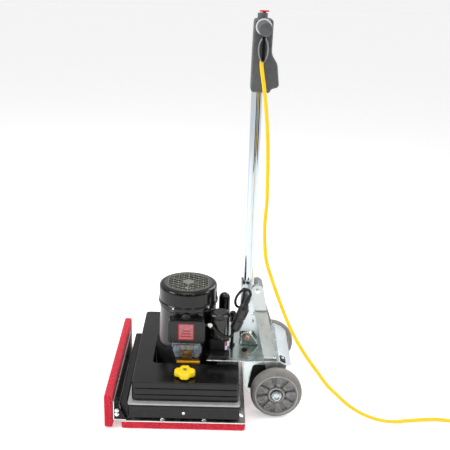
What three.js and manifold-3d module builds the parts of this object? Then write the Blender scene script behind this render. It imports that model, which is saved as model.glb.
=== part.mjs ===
// Orbital rectangular-pad floor machine, in millimetres, +Z up.
// The front of the machine faces -Y, the operator stands at +Y, and the floor is z = 0.
// Lengths below are measured from the motor's axis; the whole group is then moved along Y
// so that its origin is the middle of the machine's footprint.
import * as THREE from 'three';
import { mergeVertices } from 'three/addons/utils/BufferGeometryUtils.js';
import Module from 'manifold-3d';

const wasm = await Module();
wasm.setup();

// ---------------------------------------------------------------- driving dimensions
const GAP = 0.3; // between pieces that touch

const PAD = { halfX: 254, halfY: 178, thick: 22 };
const ORBIT = 3.2; // offset of the eccentric, so the pad's orbit is twice this across
const DRIVER = { z: PAD.thick + GAP, thick: 4 };
const FRAME = { halfX: 247, front: -160, rear: 161, z: 74, thick: 6, bore: 57 };
const SKIRT = { halfX: 246.5, front: -157, rear: 161, z: 32, wall: 6.5 };
const BUMPER = { far: -200, near: 236, front: -182 };
const WEIGHT = {
  count: 3, halfX: 233.4, front: -150, rear: 157.5, thick: 19.9, corner: 14, slotHalfX: 119, slotFront: -97,
};
const CLAMP = { x: 195, hole: 7, lobe: 26.5, wave: 4, tall: 21 };
const HOLDER = { far: -178, near: 252, front: -200.7, thick: 3, rear: -164, top: 88 };
const BASEBOARD = { front: -226, rear: -203, bottom: 2, top: 105 };
const MOTOR = { radius: 85.5, waist: 235, flare: 92.4, z: 165, top: 296, bore: 72, wall: 11.7, shaft: 10 };
const MOTOR_FOOT = 95.5; // radius
const COVER = { radius: 88.5, rim: 91, z: 296.3, top: 354, wall: 2.5, hexagon: 70 };
const JUNCTION = { halfY: 53, z0: 203, z1: 272, front: 104 };
const RESET = { y: -2, z: 274, radius: 8.5, boss: 15 };
const CONTROL = { x0: 45, x1: 88, y0: 66, y1: 127, top: 204 };
const DECK = { halfX: 130, front: 61, bend: 279, rear: 316, top: 158, low: 141, thick: 3, cutout: 95 };
const WHEEL = { radius: 76.2, y: 270, x: 161.5, halfWidth: 22, rim: 58 };
const AXLE = { radius: 8, halfX: 189 };
const PIVOT = { y: 181, z: 186, radius: 6 };
const LUG = { inner: 24, outer: 28, radius: 17 };
const CRADLE = { inner: 24.3, outer: 28.3, front: 160, rear: 216, z0: 206, z1: 362 };
const TUBE = { y: 183, radius: 15.9, wall: 2, z0: 170, z1: 995 };
const PLUNGER = { z: 318, tip: 4 };
const HEAD = { halfX: 29, bevel: 3, top: 1134 };
const GRIP = { y: 192.8, z: 1114, radius: 18, end: 120 };
const TRIGGER = { y: 191.5, z: 1085, shaft: 4, x0: 70, x1: 78, halfWidth: 14.5, bottom: 1024, band: 4.5 };
const CORD = { radius: 5.5, x: 38, y: 190.5, top: 1025.7 };
const COIL = { x: 120, y: 990, inner: 78, outer: 147, height: 34 };
const COIL_EDGE = COIL.x + COIL.outer + CORD.radius + 1; // where the cord lies beside its coil
const Y_MIDDLE = (WHEEL.y + WHEEL.radius + BASEBOARD.front) / 2;

// ---------------------------------------------------------------- geometry helpers
const AXES = {
  x: new THREE.Vector3(1, 0, 0),
  y: new THREE.Vector3(0, 1, 0),
  z: new THREE.Vector3(0, 0, 1),
};
const SHAPE_YZ_TO_X = new THREE.Matrix4().makeBasis(AXES.y, AXES.z, AXES.x);

/** Merges equal vertices, drops triangles that collapsed on an axis, and turns the faces outward. */
function weld(source) {
  const bare = source.clone();
  for (const name of Object.keys(bare.attributes)) {
    if (name !== 'position') bare.deleteAttribute(name);
  }
  const merged = mergeVertices(bare, 1e-3);
  const index = Array.from(merged.index.array);
  const corner = [new THREE.Vector3(), new THREE.Vector3(), new THREE.Vector3()];
  const kept = [];
  let volume = 0;
  for (let i = 0; i < index.length; i += 3) {
    const [a, b, c] = index.slice(i, i + 3);
    if (a === b || b === c || c === a) continue;
    [a, b, c].forEach((v, k) => corner[k].fromBufferAttribute(merged.attributes.position, v));
    volume += corner[0].dot(corner[1].clone().cross(corner[2]));
    kept.push([a, b, c]);
  }
  if (volume < 0) kept.forEach((triangle) => triangle.reverse());
  merged.setIndex(kept.flat());
  return merged;
}

function toManifold(geometry) {
  const welded = weld(geometry);
  return new wasm.Manifold(new wasm.Mesh({
    numProp: 3,
    vertProperties: new Float32Array(welded.attributes.position.array),
    triVerts: new Uint32Array(welded.index.array),
  }));
}

function fromManifold(manifold) {
  const mesh = manifold.getMesh();
  const geometry = new THREE.BufferGeometry();
  geometry.setAttribute('position', new THREE.BufferAttribute(new Float32Array(mesh.vertProperties), 3));
  geometry.setIndex(Array.from(mesh.triVerts));
  return geometry;
}

function join(first, ...others) {
  return fromManifold(others.reduce((sum, part) => sum.add(toManifold(part)), toManifold(first)));
}

function cut(first, ...others) {
  return fromManifold(others.reduce((rest, part) => rest.subtract(toManifold(part)), toManifold(first)));
}

function common(first, second) {
  return fromManifold(toManifold(first).intersect(toManifold(second)));
}

/** A box between two opposite corners. */
function box(x0, x1, y0, y1, z0, z1) {
  return new THREE.BoxGeometry(x1 - x0, y1 - y0, z1 - z0)
    .translate((x0 + x1) / 2, (y0 + y1) / 2, (z0 + z1) / 2);
}

function polygon(points) {
  return new THREE.Shape(points.map(([u, v]) => new THREE.Vector2(u, v)));
}

/** A closed path round points whose corners are rounded by their third value. */
function roundedPath(points, path = new THREE.Shape()) {
  const count = points.length;
  points.forEach(([u, v, radius = 0], i) => {
    const here = new THREE.Vector2(u, v);
    const before = new THREE.Vector2(...points[(i + count - 1) % count].slice(0, 2));
    const after = new THREE.Vector2(...points[(i + 1) % count].slice(0, 2));
    const start = here.clone().add(before.sub(here).setLength(radius));
    const end = here.clone().add(after.sub(here).setLength(radius));
    if (i === 0) path.moveTo(start.x, start.y);
    else path.lineTo(start.x, start.y);
    if (radius > 0) path.quadraticCurveTo(u, v, end.x, end.y);
  });
  path.closePath();
  return path;
}

function roundedRectangle(u0, u1, v0, v1, radius) {
  return roundedPath([[u0, v0, radius], [u1, v0, radius], [u1, v1, radius], [u0, v1, radius]]);
}

function circlePath(u, v, radius) {
  return new THREE.Path().absarc(u, v, radius, 0, 2 * Math.PI);
}

/** Extrudes a shape drawn in X and Y from z0 to z1, with optional bevelled edges. */
function plate(shape, z0, z1, { bevel = 0, curveSegments = 4 } = {}) {
  return new THREE.ExtrudeGeometry(shape, {
    depth: z1 - z0 - 2 * bevel,
    bevelEnabled: bevel > 0,
    bevelSize: bevel,
    bevelThickness: bevel,
    bevelOffset: -bevel,
    bevelSegments: 1,
    curveSegments,
  }).translate(0, 0, z0 + bevel);
}

/** Extrudes a shape drawn in Y and Z from x0 to x1. */
function cheek(shape, x0, x1, options) {
  return plate(shape, x0, x1, options).applyMatrix4(SHAPE_YZ_TO_X);
}

/** Turns a profile of [radius, height] about Z. */
function turned(profile, segments = 24) {
  return new THREE.LatheGeometry(profile.map(([r, h]) => new THREE.Vector2(r, h)), segments)
    .rotateX(Math.PI / 2);
}

/** Turns a closed profile between an inner and an outer radius about Z. */
function ring(inner, outer, z0, z1, segments = 24) {
  return turned([[inner, z0], [outer, z0], [outer, z1], [inner, z1], [inner, z0]], segments);
}

function rod(radius, z0, z1, segments = 16) {
  return turned([[0, z0], [radius, z0], [radius, z1], [0, z1]], segments);
}

/** Moves something made about Z so that it lies about an X axis through (y, z). */
function alongX(geometry, y, z) {
  return geometry.rotateY(Math.PI / 2).translate(0, y, z);
}

/** A tube of circular section along a smooth curve through points. */
function cable(points, radius, steps, sides = 8) {
  const curve = new THREE.CatmullRomCurve3(points.map((p) => new THREE.Vector3(...p)), false, 'centripetal');
  const section = new THREE.Shape().absarc(0, 0, radius, 0, 2 * Math.PI);
  return new THREE.ExtrudeGeometry(section, { steps, extrudePath: curve, curveSegments: sides / 2 });
}

const group = new THREE.Group();
group.position.y = -Y_MIDDLE;

const FINISH = {
  blackPaint: { color: 0x1c1d1d, roughness: 0.35, metalness: 0.2 },
  blackPlastic: { color: 0x222324, roughness: 0.5, metalness: 0 },
  blackRubber: { color: 0x191919, roughness: 0.85, metalness: 0 },
  greyPaint: { color: 0x6e7173, roughness: 0.5, metalness: 0.3 },
  greyPlastic: { color: 0x4c4f50, roughness: 0.55, metalness: 0 },
  greyTyre: { color: 0x77736e, roughness: 0.8, metalness: 0 },
  zinc: { color: 0xc9ced0, roughness: 0.3, metalness: 0.9 },
  chrome: { color: 0xe4e8ea, roughness: 0.08, metalness: 1 },
  steel: { color: 0xa9adb0, roughness: 0.35, metalness: 0.9 },
  castIron: { color: 0x55585a, roughness: 0.7, metalness: 0.5 },
  redPad: { color: 0xc81e33, roughness: 0.95, metalness: 0 },
  redPlastic: { color: 0xd0202a, roughness: 0.4, metalness: 0 },
  yellowPlastic: { color: 0xf6c915, roughness: 0.45, metalness: 0 },
  clearPlastic: { color: 0xdde4e8, roughness: 0.1, metalness: 0 },
};

function add(name, geometry, finish) {
  const mesh = new THREE.Mesh(weld(geometry), new THREE.MeshStandardMaterial(FINISH[finish]));
  mesh.name = name;
  group.add(mesh);
  return mesh;
}

// ---------------------------------------------------------------- pads and the plate that drives them
function addPads() {
  add('floor_pad', plate(roundedRectangle(-PAD.halfX, PAD.halfX, -PAD.halfY, PAD.halfY, 4), 0, PAD.thick), 'redPad');
  add('driver_plate',
    plate(roundedRectangle(-PAD.halfX + 1, PAD.halfX - 1, -PAD.halfY, PAD.halfY, 4), DRIVER.z, DRIVER.z + DRIVER.thick),
    'steel');
  add('baseboard_pad',
    box(-PAD.halfX, PAD.halfX, BASEBOARD.front, BASEBOARD.rear, BASEBOARD.bottom, BASEBOARD.top), 'redPad');
}

/** The angle plate that carries the baseboard pad, with a gusset at its near end. */
function addBaseboardHolder() {
  const { far, near, front, thick, rear, top } = HOLDER;
  const low = DRIVER.z + DRIVER.thick + GAP;
  const angle = cheek(polygon([
    [front, low], [rear, low], [rear, low + thick], [front + thick, low + thick], [front + thick, top], [front, top],
  ]), far, near);
  const gusset = (x0, x1) => cheek(polygon([
    [front + 1, low + 1], [rear - 4, low + 1], [rear - 4, low + 12], [front + 12, top - 14], [front + 1, top - 14],
  ]), x0, x1);
  add('baseboard_holder', join(angle, gusset(near - 6, near - 2)), 'steel');
}

// ---------------------------------------------------------------- frame, skirt and weights
function addFrame() {
  const shape = roundedRectangle(-FRAME.halfX, FRAME.halfX, FRAME.front, FRAME.rear, 6);
  shape.holes.push(circlePath(0, 0, FRAME.bore));
  for (const side of [-1, 1]) shape.holes.push(circlePath(side * CLAMP.x, 0, CLAMP.hole));
  add('frame_plate', plate(shape, FRAME.z, FRAME.z + FRAME.thick, { curveSegments: 10 }), 'greyPaint');
}

/** One moulded band under the frame plate, with a thick bumper across its front. */
function addSkirt() {
  const { halfX, front, rear, z, wall } = SKIRT;
  const shape = polygon([
    [-halfX, rear], [-halfX, front], [BUMPER.far, front], [BUMPER.far, BUMPER.front],
    [BUMPER.near, BUMPER.front], [BUMPER.near, front], [halfX, front], [halfX, rear],
  ]);
  const inside = halfX - wall;
  const innerFront = front - wall;
  shape.holes.push(roundedPath([
    [-inside, rear - wall], [inside, rear - wall], [inside, front + wall], [BUMPER.near - wall, front + wall],
    [BUMPER.near - wall, innerFront], [BUMPER.far + wall, innerFront], [BUMPER.far + wall, front + wall],
    [-inside, front + wall],
  ], new THREE.Path()));
  add('skirt', plate(shape, z, FRAME.z - GAP), 'blackRubber');
}

function addIsolators() {
  const top = FRAME.z - GAP;
  const low = DRIVER.z + DRIVER.thick + 2 * GAP;
  const profile = [[0, low], [17, low], [17, low + 5], [13, low + 12], [13, top - 12], [17, top - 5], [17, top], [0, top]];
  let number = 1;
  for (const x of [-200, 200]) {
    for (const y of [-115, 115]) {
      add(`isolator_${number}`, turned(profile, 12).translate(x, y, 0), 'blackRubber');
      number += 1;
    }
  }
}

function weightShape() {
  const { halfX, front, rear, corner, slotHalfX, slotFront } = WEIGHT;
  const shape = roundedPath([
    [-halfX, front, corner], [halfX, front, corner], [halfX, rear, corner], [slotHalfX, rear, 5],
    [slotHalfX, slotFront, corner], [-slotHalfX, slotFront, corner], [-slotHalfX, rear, 5], [-halfX, rear, corner],
  ]);
  for (const side of [-1, 1]) shape.holes.push(circlePath(side * CLAMP.x, 0, CLAMP.hole));
  return shape;
}

function weightTop(count = WEIGHT.count) {
  return FRAME.z + FRAME.thick + count * (WEIGHT.thick + GAP);
}

function addWeights() {
  for (let i = 1; i <= WEIGHT.count; i += 1) {
    const top = weightTop(i);
    add(`weight_plate_${i}`, plate(weightShape(), top - WEIGHT.thick, top, { bevel: 1.2 }), 'blackPaint');
  }
}

/** A four-lobed knob moulded on its own threaded stud, which passes through weights and frame. */
function addClampKnobs() {
  const outline = new THREE.Shape();
  const points = 24;
  for (let i = 0; i < points; i += 1) {
    const angle = (2 * Math.PI * i) / points;
    const radius = CLAMP.lobe + CLAMP.wave * Math.cos(4 * angle);
    const [u, v] = [radius * Math.cos(angle), radius * Math.sin(angle)];
    if (i === 0) outline.moveTo(u, v);
    else outline.lineTo(u, v);
  }
  const seat = weightTop() + GAP;
  const stud = CLAMP.hole - 1;
  for (const [name, x] of [['clamp_knob_near', CLAMP.x], ['clamp_knob_far', -CLAMP.x]]) {
    const head = plate(outline, seat + 3, seat + CLAMP.tall, { bevel: 2.5 });
    const stem = turned([
      [0, FRAME.z - 14], [stud, FRAME.z - 14], [stud, seat], [15, seat], [15, seat + 4], [6, seat + 4],
      [6, seat + CLAMP.tall + 3], [0, seat + CLAMP.tall + 3],
    ], 20);
    add(name, join(head, stem).translate(x, 0, 0), 'yellowPlastic');
  }
}

// ---------------------------------------------------------------- eccentric drive under the frame
function addEccentricDrive() {
  const bottom = DRIVER.z + DRIVER.thick + GAP;
  const hub = join(rod(30, 36, 62).translate(ORBIT, 0, 0), rod(36, 61, 66).translate(ORBIT, 0, 0));
  const half = new THREE.Shape();
  half.moveTo(0, 60);
  half.absarc(0, 0, 60, Math.PI / 2, 1.5 * Math.PI);
  half.closePath();
  const counterweight = plate(half, 65, 72, { curveSegments: 8 });
  add('eccentric_hub', cut(join(hub, counterweight), rod(MOTOR.shaft + GAP, 30, 80)), 'castIron');
  add('eccentric_bearing', ring(30.3, 45, 38, 58).translate(ORBIT, 0, 0), 'steel');
  const housing = [
    [20, bottom], [78, bottom], [78, bottom + 5], [54, bottom + 5], [54, 58], [45.3, 58], [45.3, 34], [20, 34],
    [20, bottom],
  ];
  add('bearing_housing', turned(housing).translate(ORBIT, 0, 0), 'castIron');
}

// ---------------------------------------------------------------- motor
function addMotor() {
  const { radius, waist, flare, z, top, bore, wall, shaft } = MOTOR;
  const seat = 20.3; // radius of the bearing seats
  const foot = FRAME.z + FRAME.thick + GAP;
  add('motor_foot', turned([
    [62, foot], [MOTOR_FOOT, foot], [MOTOR_FOOT, 125], [flare, z - GAP], [seat + 1, z - GAP], [seat + 1, z - 11],
    [62, z - 14], [62, foot],
  ]), 'blackPaint');
  add('motor_body', turned([
    [seat, z], [flare, z], [radius, waist], [radius, top], [bore, top], [bore, z + wall], [seat, z + wall], [seat, z],
  ], 32), 'blackPaint');
  add('stator_core', ring(46, bore - 2 * GAP, 205, 280), 'castIron');
  add('rotor', turned([
    [0, 40], [shaft, 40], [shaft, 205], [44, 205], [44, 280], [shaft, 280], [shaft, 318], [0, 318],
  ]), 'steel');
  add('motor_bearing', ring(shaft + GAP, seat - GAP, z + 0.7, z + wall - 0.7), 'steel');
  add('motor_end_plate', ring(shaft + GAP, bore - 2 * GAP, 284, top - GAP), 'blackPaint');
}

function addFan() {
  const blades = [];
  const count = 8;
  for (let i = 0; i < count; i += 1) {
    blades.push(box(11, 70, -1.3, 1.3, 301, 325).rotateZ((2 * Math.PI * i) / count));
  }
  const body = join(rod(15, 300, 322), rod(60, 300, 302.5, 32), ...blades);
  add('cooling_fan', cut(body, rod(MOTOR.shaft + GAP, 290, 330)), 'blackPlastic');
}

/** The triangular openings of a hexagonal grille, in rings about a solid middle. */
function grilleOpenings(z0, z1) {
  const rings = 4;
  const rib = 2.4;
  const pitch = COVER.hexagon / rings;
  const inside = 1 - (Math.sqrt(3) * rib) / pitch;
  const openings = [];
  const opening = (...corners) => {
    const middle = corners[0].clone().add(corners[1]).add(corners[2]).divideScalar(3);
    const shrunk = corners.map((corner) => corner.sub(middle).multiplyScalar(inside).add(middle));
    openings.push(plate(new THREE.Shape(shrunk), z0, z1));
  };
  for (let sector = 0; sector < 6; sector += 1) {
    const [u, v] = [sector, sector + 1].map((k) => (
      new THREE.Vector2(pitch * Math.cos((k * Math.PI) / 3), pitch * Math.sin((k * Math.PI) / 3))));
    const node = (a, b) => u.clone().multiplyScalar(a).addScaledVector(v, b);
    for (let row = 1; row < rings; row += 1) {
      for (let k = 0; k <= row; k += 1) {
        opening(node(row - k, k), node(row - k + 1, k), node(row - k, k + 1));
        if (k < row) opening(node(row - k, k), node(row - k, k + 1), node(row - k - 1, k + 1));
      }
    }
  }
  return openings;
}

function addFanCover() {
  const { radius, rim, z, top, wall } = COVER;
  const shell = turned([
    [radius - wall, z], [rim, z], [rim, z + 6], [radius, z + 10], [radius, top - 9], [radius - 2, top - 4],
    [radius - 8, top], [0, top], [0, top - wall], [radius - 9, top - wall], [radius - wall - 2, top - 9],
    [radius - wall, z],
  ], 32);
  add('fan_cover', cut(shell, ...grilleOpenings(top - wall - 1, top + 1)), 'blackPaint');
}

/** Terminal box on the near side of the motor, its cover, and the boss that holds the reset button. */
function addJunctionBox() {
  const { halfY, z0, z1, front } = JUNCTION;
  const { y, z, radius, boss } = RESET;
  const body = cheek(roundedRectangle(-halfY, halfY, z0, z1, 8), 60, front);
  const round = alongX(turned([[0, 60], [boss, 60], [boss, 93], [boss - 3, 97], [0, 97]], 20), y, z);
  const bore = alongX(rod(radius + 2 * GAP, 88, JUNCTION.front + 1), y, z);
  add('junction_box', cut(join(body, round), bore, rod(88.8, z0 - 5, z1 + 25, 32)), 'blackPaint');
  add('junction_cover',
    cheek(roundedRectangle(-halfY - 2, halfY + 2, z0 - 1, z1 + 0.5, 9), front + GAP, front + 4, { bevel: 0.8 }),
    'blackPaint');
  const button = turned([[0, 91.4], [radius, 91.4], [radius, 97.5], [radius * 0.7, 100.5], [0, 101.5]], 16);
  add('reset_button', alongX(button, y, z), 'blackPlastic');
}

/** Starting gear beside the motor: a box on a spread foot, with a post behind it, and two capacitor cans. */
function addElectrics() {
  const { x0, x1, y0, y1, top } = CONTROL;
  const deckTop = DECK.top + GAP;
  const foot = plate(roundedRectangle(20, 122, y0 - 1, y1 + 2, 16), deckTop, deckTop + 9);
  const body = plate(roundedRectangle(x0, x1, y0, y1, 10), deckTop, top);
  const post = join(rod(4.5, deckTop, 262, 12), rod(9, 260, 273, 12)).translate(30, 138, 0);
  const lug = box(22, 44, 118, 143, deckTop, deckTop + 6);
  const motorRoom = rod(93.8, deckTop - 5, top + 5, 32);
  add('control_box', cut(join(foot, body, post, lug), motorRoom), 'blackPlastic');
  add('capacitor_near', turned([
    [0, top + GAP], [28.5, top + GAP], [28.5, 272], [30.5, 274], [30.5, 281], [25, 288], [0, 288],
  ], 16).translate(64, 98, 0), 'blackPlastic');
  add('capacitor_far', turned([
    [0, deckTop], [18, deckTop], [18, 288], [15, 297], [8, 302], [0, 303],
  ], 20).translate(-40, 112, 0), 'blackPlastic');
}

/** Clear cover at the foot of the motor, open at its back, on a yellow base. */
function addClearCover() {
  const outline = (inset) => polygon([
    [-36 + inset, 146 + inset], [41 - inset, 146 + inset], [50 - inset, 172], [48 - inset, 199 - inset],
    [-42 + inset, 199 - inset], [-45 + inset, 172],
  ]);
  add('clear_cover', cut(cheek(outline(0), 96, 114), cheek(outline(2.5), 90, 111.5)), 'clearPlastic');
  add('cover_base', box(97, 117, -28, 42, 139, 145.6), 'yellowPlastic');
}

// ---------------------------------------------------------------- chassis, wheels and handle carrier
/** The folded sheet: deck, sloping rear lip, and a leg down to the axle on each side. */
function addChassis() {
  const { halfX, front, bend, rear, top, low, thick, cutout } = DECK;
  const profile = polygon([
    [front, top - thick], [front, top], [bend, top], [rear, low], [rear - 1.3, low - 2.8], [bend - 0.7, top - thick],
  ]);
  const plan = polygon([
    [-halfX, front], [halfX, front], [halfX, rear - 16], [halfX - 16, rear + 1], [16 - halfX, rear + 1],
    [-halfX, rear - 16],
  ]);
  const sheet = common(cheek(profile, -halfX, halfX), plate(plan, low - 9, top + 1));
  const deck = cut(sheet, rod(cutout, low - 10, top + 10, 48));
  const leg = new THREE.Shape();
  leg.moveTo(172, top - 2);
  leg.lineTo(173, 66);
  leg.lineTo(190, 46);
  leg.lineTo(WHEEL.y, WHEEL.radius - 24);
  leg.absarc(WHEEL.y, WHEEL.radius, 24, -Math.PI / 2, 0.2);
  leg.lineTo(299, 146.5);
  leg.lineTo(bend, top - 1);
  leg.closePath();
  leg.holes.push(roundedPath([[200, 147, 8], [258, 147, 8], [240, 68, 8], [186, 68, 8]], new THREE.Path()));
  leg.holes.push(circlePath(WHEEL.y, WHEEL.radius, AXLE.radius + 1));
  add('chassis', join(deck, cheek(leg, halfX - thick, halfX), cheek(leg, -halfX, thick - halfX)), 'zinc');
}

/** A black channel between the legs that stiffens the deck. */
function addUnderFrame() {
  const end = DECK.halfX - DECK.thick - GAP;
  const [y0, y1, z0, z1, wall] = [188, 255, 64, DECK.top - DECK.thick - GAP, 4];
  const hollow = box(wall - end, end - wall, y0 + wall, y1 - wall, z0 - 5, z1 - wall);
  add('under_frame', cut(box(-end, end, y0, y1, z0, z1), hollow), 'blackPaint');
}

/** The two lugs and their base, in which the handle tube pivots. */
function addPivot() {
  const base = DECK.top + GAP;
  const { inner, outer, radius } = LUG;
  const lug = new THREE.Shape();
  lug.moveTo(PIVOT.y - radius, base);
  lug.lineTo(PIVOT.y - radius, PIVOT.z);
  lug.absarc(PIVOT.y, PIVOT.z, radius, Math.PI, Math.PI / 4, true);
  lug.lineTo(218, base + 5);
  lug.lineTo(218, base);
  lug.closePath();
  lug.holes.push(circlePath(PIVOT.y, PIVOT.z, PIVOT.radius + 2 * GAP));
  const gap = box(-inner, inner, PIVOT.y - 40, PIVOT.y + 60, base + 2.5, PIVOT.z + 40);
  add('pivot_clevis', cut(cheek(lug, -outer, outer), gap), 'zinc');
  const bolt = turned([
    [0, -outer - 7], [9, -outer - 7], [9, -outer - GAP], [PIVOT.radius, -outer - GAP], [PIVOT.radius, outer + GAP],
    [10.5, outer + GAP], [10.5, outer + 7], [0, outer + 7],
  ], 12);
  add('pivot_bolt', alongX(bolt, PIVOT.y, PIVOT.z), 'steel');
}

/** The channel that the upright handle rests in; it is open towards the operator. */
function addCradle() {
  const { inner, outer, front, rear, z0, z1 } = CRADLE;
  const side = roundedPath([[front, z0], [rear, z0, 8], [rear, z1, 16], [front, z1]]);
  for (const [y, z] of [[198, 241], [198, 266], [209, 343]]) side.holes.push(circlePath(y, z, 5));
  side.holes.push(circlePath(TUBE.y, PLUNGER.z, PLUNGER.tip + 0.5));
  const hollow = box(-inner, inner, front + 4, rear + 10, z0 - 5, z1 + 5);
  add('handle_cradle', cut(cheek(side, -outer, outer), hollow), 'zinc');
}

/** A flat bar bent through points, its width along Y, with round ends. */
function strap(points, width, thick) {
  const half = thick / 2;
  const across = points.map((point, i) => {
    const [before, after] = [points[Math.max(i - 1, 0)], points[Math.min(i + 1, points.length - 1)]];
    const first = new THREE.Vector2(point[2] - before[2], before[0] - point[0]).normalize();
    const second = new THREE.Vector2(after[2] - point[2], point[0] - after[0]).normalize();
    const normal = first.add(second).normalize();
    const bend = second.lengthSq() > 0 ? normal.dot(second) : 1;
    return normal.multiplyScalar(half / bend);
  });
  const corners = points.flatMap(([x, y, z], i) => [
    [x + across[i].x, y - width / 2, z + across[i].y], [x + across[i].x, y + width / 2, z + across[i].y],
    [x - across[i].x, y + width / 2, z - across[i].y], [x - across[i].x, y - width / 2, z - across[i].y],
  ]);
  const faces = [[0, 1, 2], [0, 2, 3]];
  const last = 4 * (points.length - 1);
  faces.push([last, last + 2, last + 1], [last, last + 3, last + 2]);
  for (let i = 0; i < last; i += 4) {
    for (let k = 0; k < 4; k += 1) {
      const [a, b] = [i + k, i + ((k + 1) % 4)];
      faces.push([a, a + 4, b], [b, a + 4, b + 4]);
    }
  }
  const bar = new THREE.BufferGeometry();
  bar.setAttribute('position', new THREE.Float32BufferAttribute(corners.flat(), 3));
  bar.setIndex(faces.flat());
  const ends = [points[0], points[points.length - 1]].map(([x, y, z]) => (
    alongX(rod(width / 2, x - half, x + half), y, z)));
  return join(bar, ...ends);
}

/** The splayed arms from the axle up to the cradle. */
function addArms() {
  const x = DECK.halfX + 2.4;
  const top = 32.4;
  const route = [[x, WHEEL.y, WHEEL.radius], [x, 251, 166], [top, 222, 275], [top, 209, 343]];
  const holes = [
    alongX(rod(AXLE.radius + 0.4, 0, 150), WHEEL.y, WHEEL.radius),
    alongX(rod(5, 0, 150), 209, 343),
  ];
  const near = cut(strap(route, 38, 4), ...holes);
  add('arm_near', near, 'zinc');
  add('arm_far', near.clone().scale(-1, 1, 1), 'zinc');
}

function addWheels() {
  const { radius, y, x, halfWidth, rim } = WHEEL;
  const bore = AXLE.radius + GAP;
  const tyre = [
    [rim + GAP, -halfWidth], [63, -halfWidth], [70, 3 - halfWidth], [74.6, 8 - halfWidth], [radius, 15 - halfWidth],
    [radius, halfWidth - 15], [74.6, halfWidth - 8], [70, halfWidth - 3], [63, halfWidth], [rim + GAP, halfWidth],
    [rim + GAP, -halfWidth],
  ];
  const hub = [
    [bore, -halfWidth], [23, -halfWidth], [23, -9], [50, -9], [50, 2 - halfWidth], [rim, 2 - halfWidth],
    [rim, halfWidth - 2], [50, halfWidth - 2], [50, 9], [23, 9], [23, halfWidth], [bore, halfWidth],
    [bore, -halfWidth],
  ];
  const spokes = [];
  const count = 6;
  for (let i = 0; i < count; i += 1) {
    spokes.push(box(20, 53, -3, 3, 3 - halfWidth, halfWidth - 3).rotateZ((2 * Math.PI * (i + 0.5)) / count));
  }
  for (const [side, centre] of [['near', x], ['far', -x]]) {
    const place = (geometry) => alongX(geometry, y, radius).translate(centre, 0, 0);
    add(`tyre_${side}`, place(turned(tyre, 30)), 'greyTyre');
    add(`wheel_hub_${side}`, place(join(turned(hub, 30), ...spokes)), 'greyPlastic');
  }
  add('axle', alongX(rod(AXLE.radius, -AXLE.halfX, AXLE.halfX, 20), y, radius), 'steel');
}

// ---------------------------------------------------------------- handle
function addHandle() {
  const { y, radius, wall, z0, z1 } = TUBE;
  const tube = ring(radius - wall, radius, z0, z1, 32).translate(0, y, 0);
  const pivotHole = alongX(rod(PIVOT.radius + GAP, -30, 30, 16), PIVOT.y, PIVOT.z);
  const pinHole = alongX(rod(PLUNGER.tip + 0.5, 5, 30, 16), y, PLUNGER.z);
  add('handle_tube', cut(tube, pivotHole, pinHole), 'chrome');
  const plunger = turned([
    [0, 17.2], [PLUNGER.tip - 1, 17.2], [PLUNGER.tip, 18.7], [PLUNGER.tip, 36], [8, 36], [9, 37],
    [9, 44], [8, 45], [0, 45],
  ], 20);
  add('lock_plunger', alongX(plunger, y, PLUNGER.z), 'steel');
}

function addHead() {
  const { halfX, bevel, top } = HEAD;
  const outline = roundedPath([
    [167, top, 9], [165, 1038], [164, 938, 9], [216, 936, 5], [221, 947], [242.4, 953, 9], [234.7, 1017, 9],
    [217.8, 1042, 9], [219.2, top, 9],
  ]);
  const boss = rod(14, top - 5, top + 15, 20).translate(0, 190, 0);
  const body = join(cheek(outline, -halfX, halfX, { bevel }), boss);
  const bore = rod(TUBE.radius + GAP, 900, TUBE.z1 + 1, 32).translate(0, TUBE.y, 0);
  const stemHole = rod(5.2, top - 16, top + 20, 16).translate(0, 194, 0);
  const shaftHole = alongX(rod(TRIGGER.shaft + GAP, -40, 40, 16), TRIGGER.y, TRIGGER.z);
  add('head_housing', cut(body, bore, stemHole, shaftHole), 'greyPlastic');
  const cap = plate(roundedRectangle(-12, 12, 187, 207, 5), top + 18, top + 23, { bevel: 1.5 });
  const stem = rod(4.8, top - 12, top + 19, 16).translate(0, 194, 0);
  add('lockout_button', join(cap, stem), 'redPlastic');
  const grip = [
    [0, halfX + GAP], [GRIP.radius + 3, halfX + GAP], [GRIP.radius + 3, halfX + 4], [GRIP.radius, halfX + 6],
    [GRIP.radius, GRIP.end - 3], [GRIP.radius - 3, GRIP.end], [0, GRIP.end],
  ];
  for (const [name, side] of [['grip_near', 1], ['grip_far', -1]]) {
    add(name, alongX(turned(grip, 28), GRIP.y, GRIP.z).scale(side, 1, 1), 'greyPlastic');
  }
}

/** Two finger loops on one shaft through the head. */
function addTrigger() {
  const { y, z, shaft, x0, x1, halfWidth, bottom, band } = TRIGGER;
  const top = z + 7;
  const loop = roundedRectangle(y - halfWidth, y + halfWidth, bottom, top, halfWidth);
  loop.holes.push(roundedPath([
    [y - halfWidth + band, bottom + band, halfWidth - band], [y + halfWidth - band, bottom + band, halfWidth - band],
    [y + halfWidth - band, z - 8, 8], [y - halfWidth + band, z - 8, 8],
  ], new THREE.Path()));
  const rodThrough = alongX(rod(shaft, -x1 + 1, x1 - 1, 16), y, z);
  add('trigger', join(rodThrough, cheek(loop, x0, x1), cheek(loop, -x1, -x0)), 'blackPlastic');
}

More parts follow.
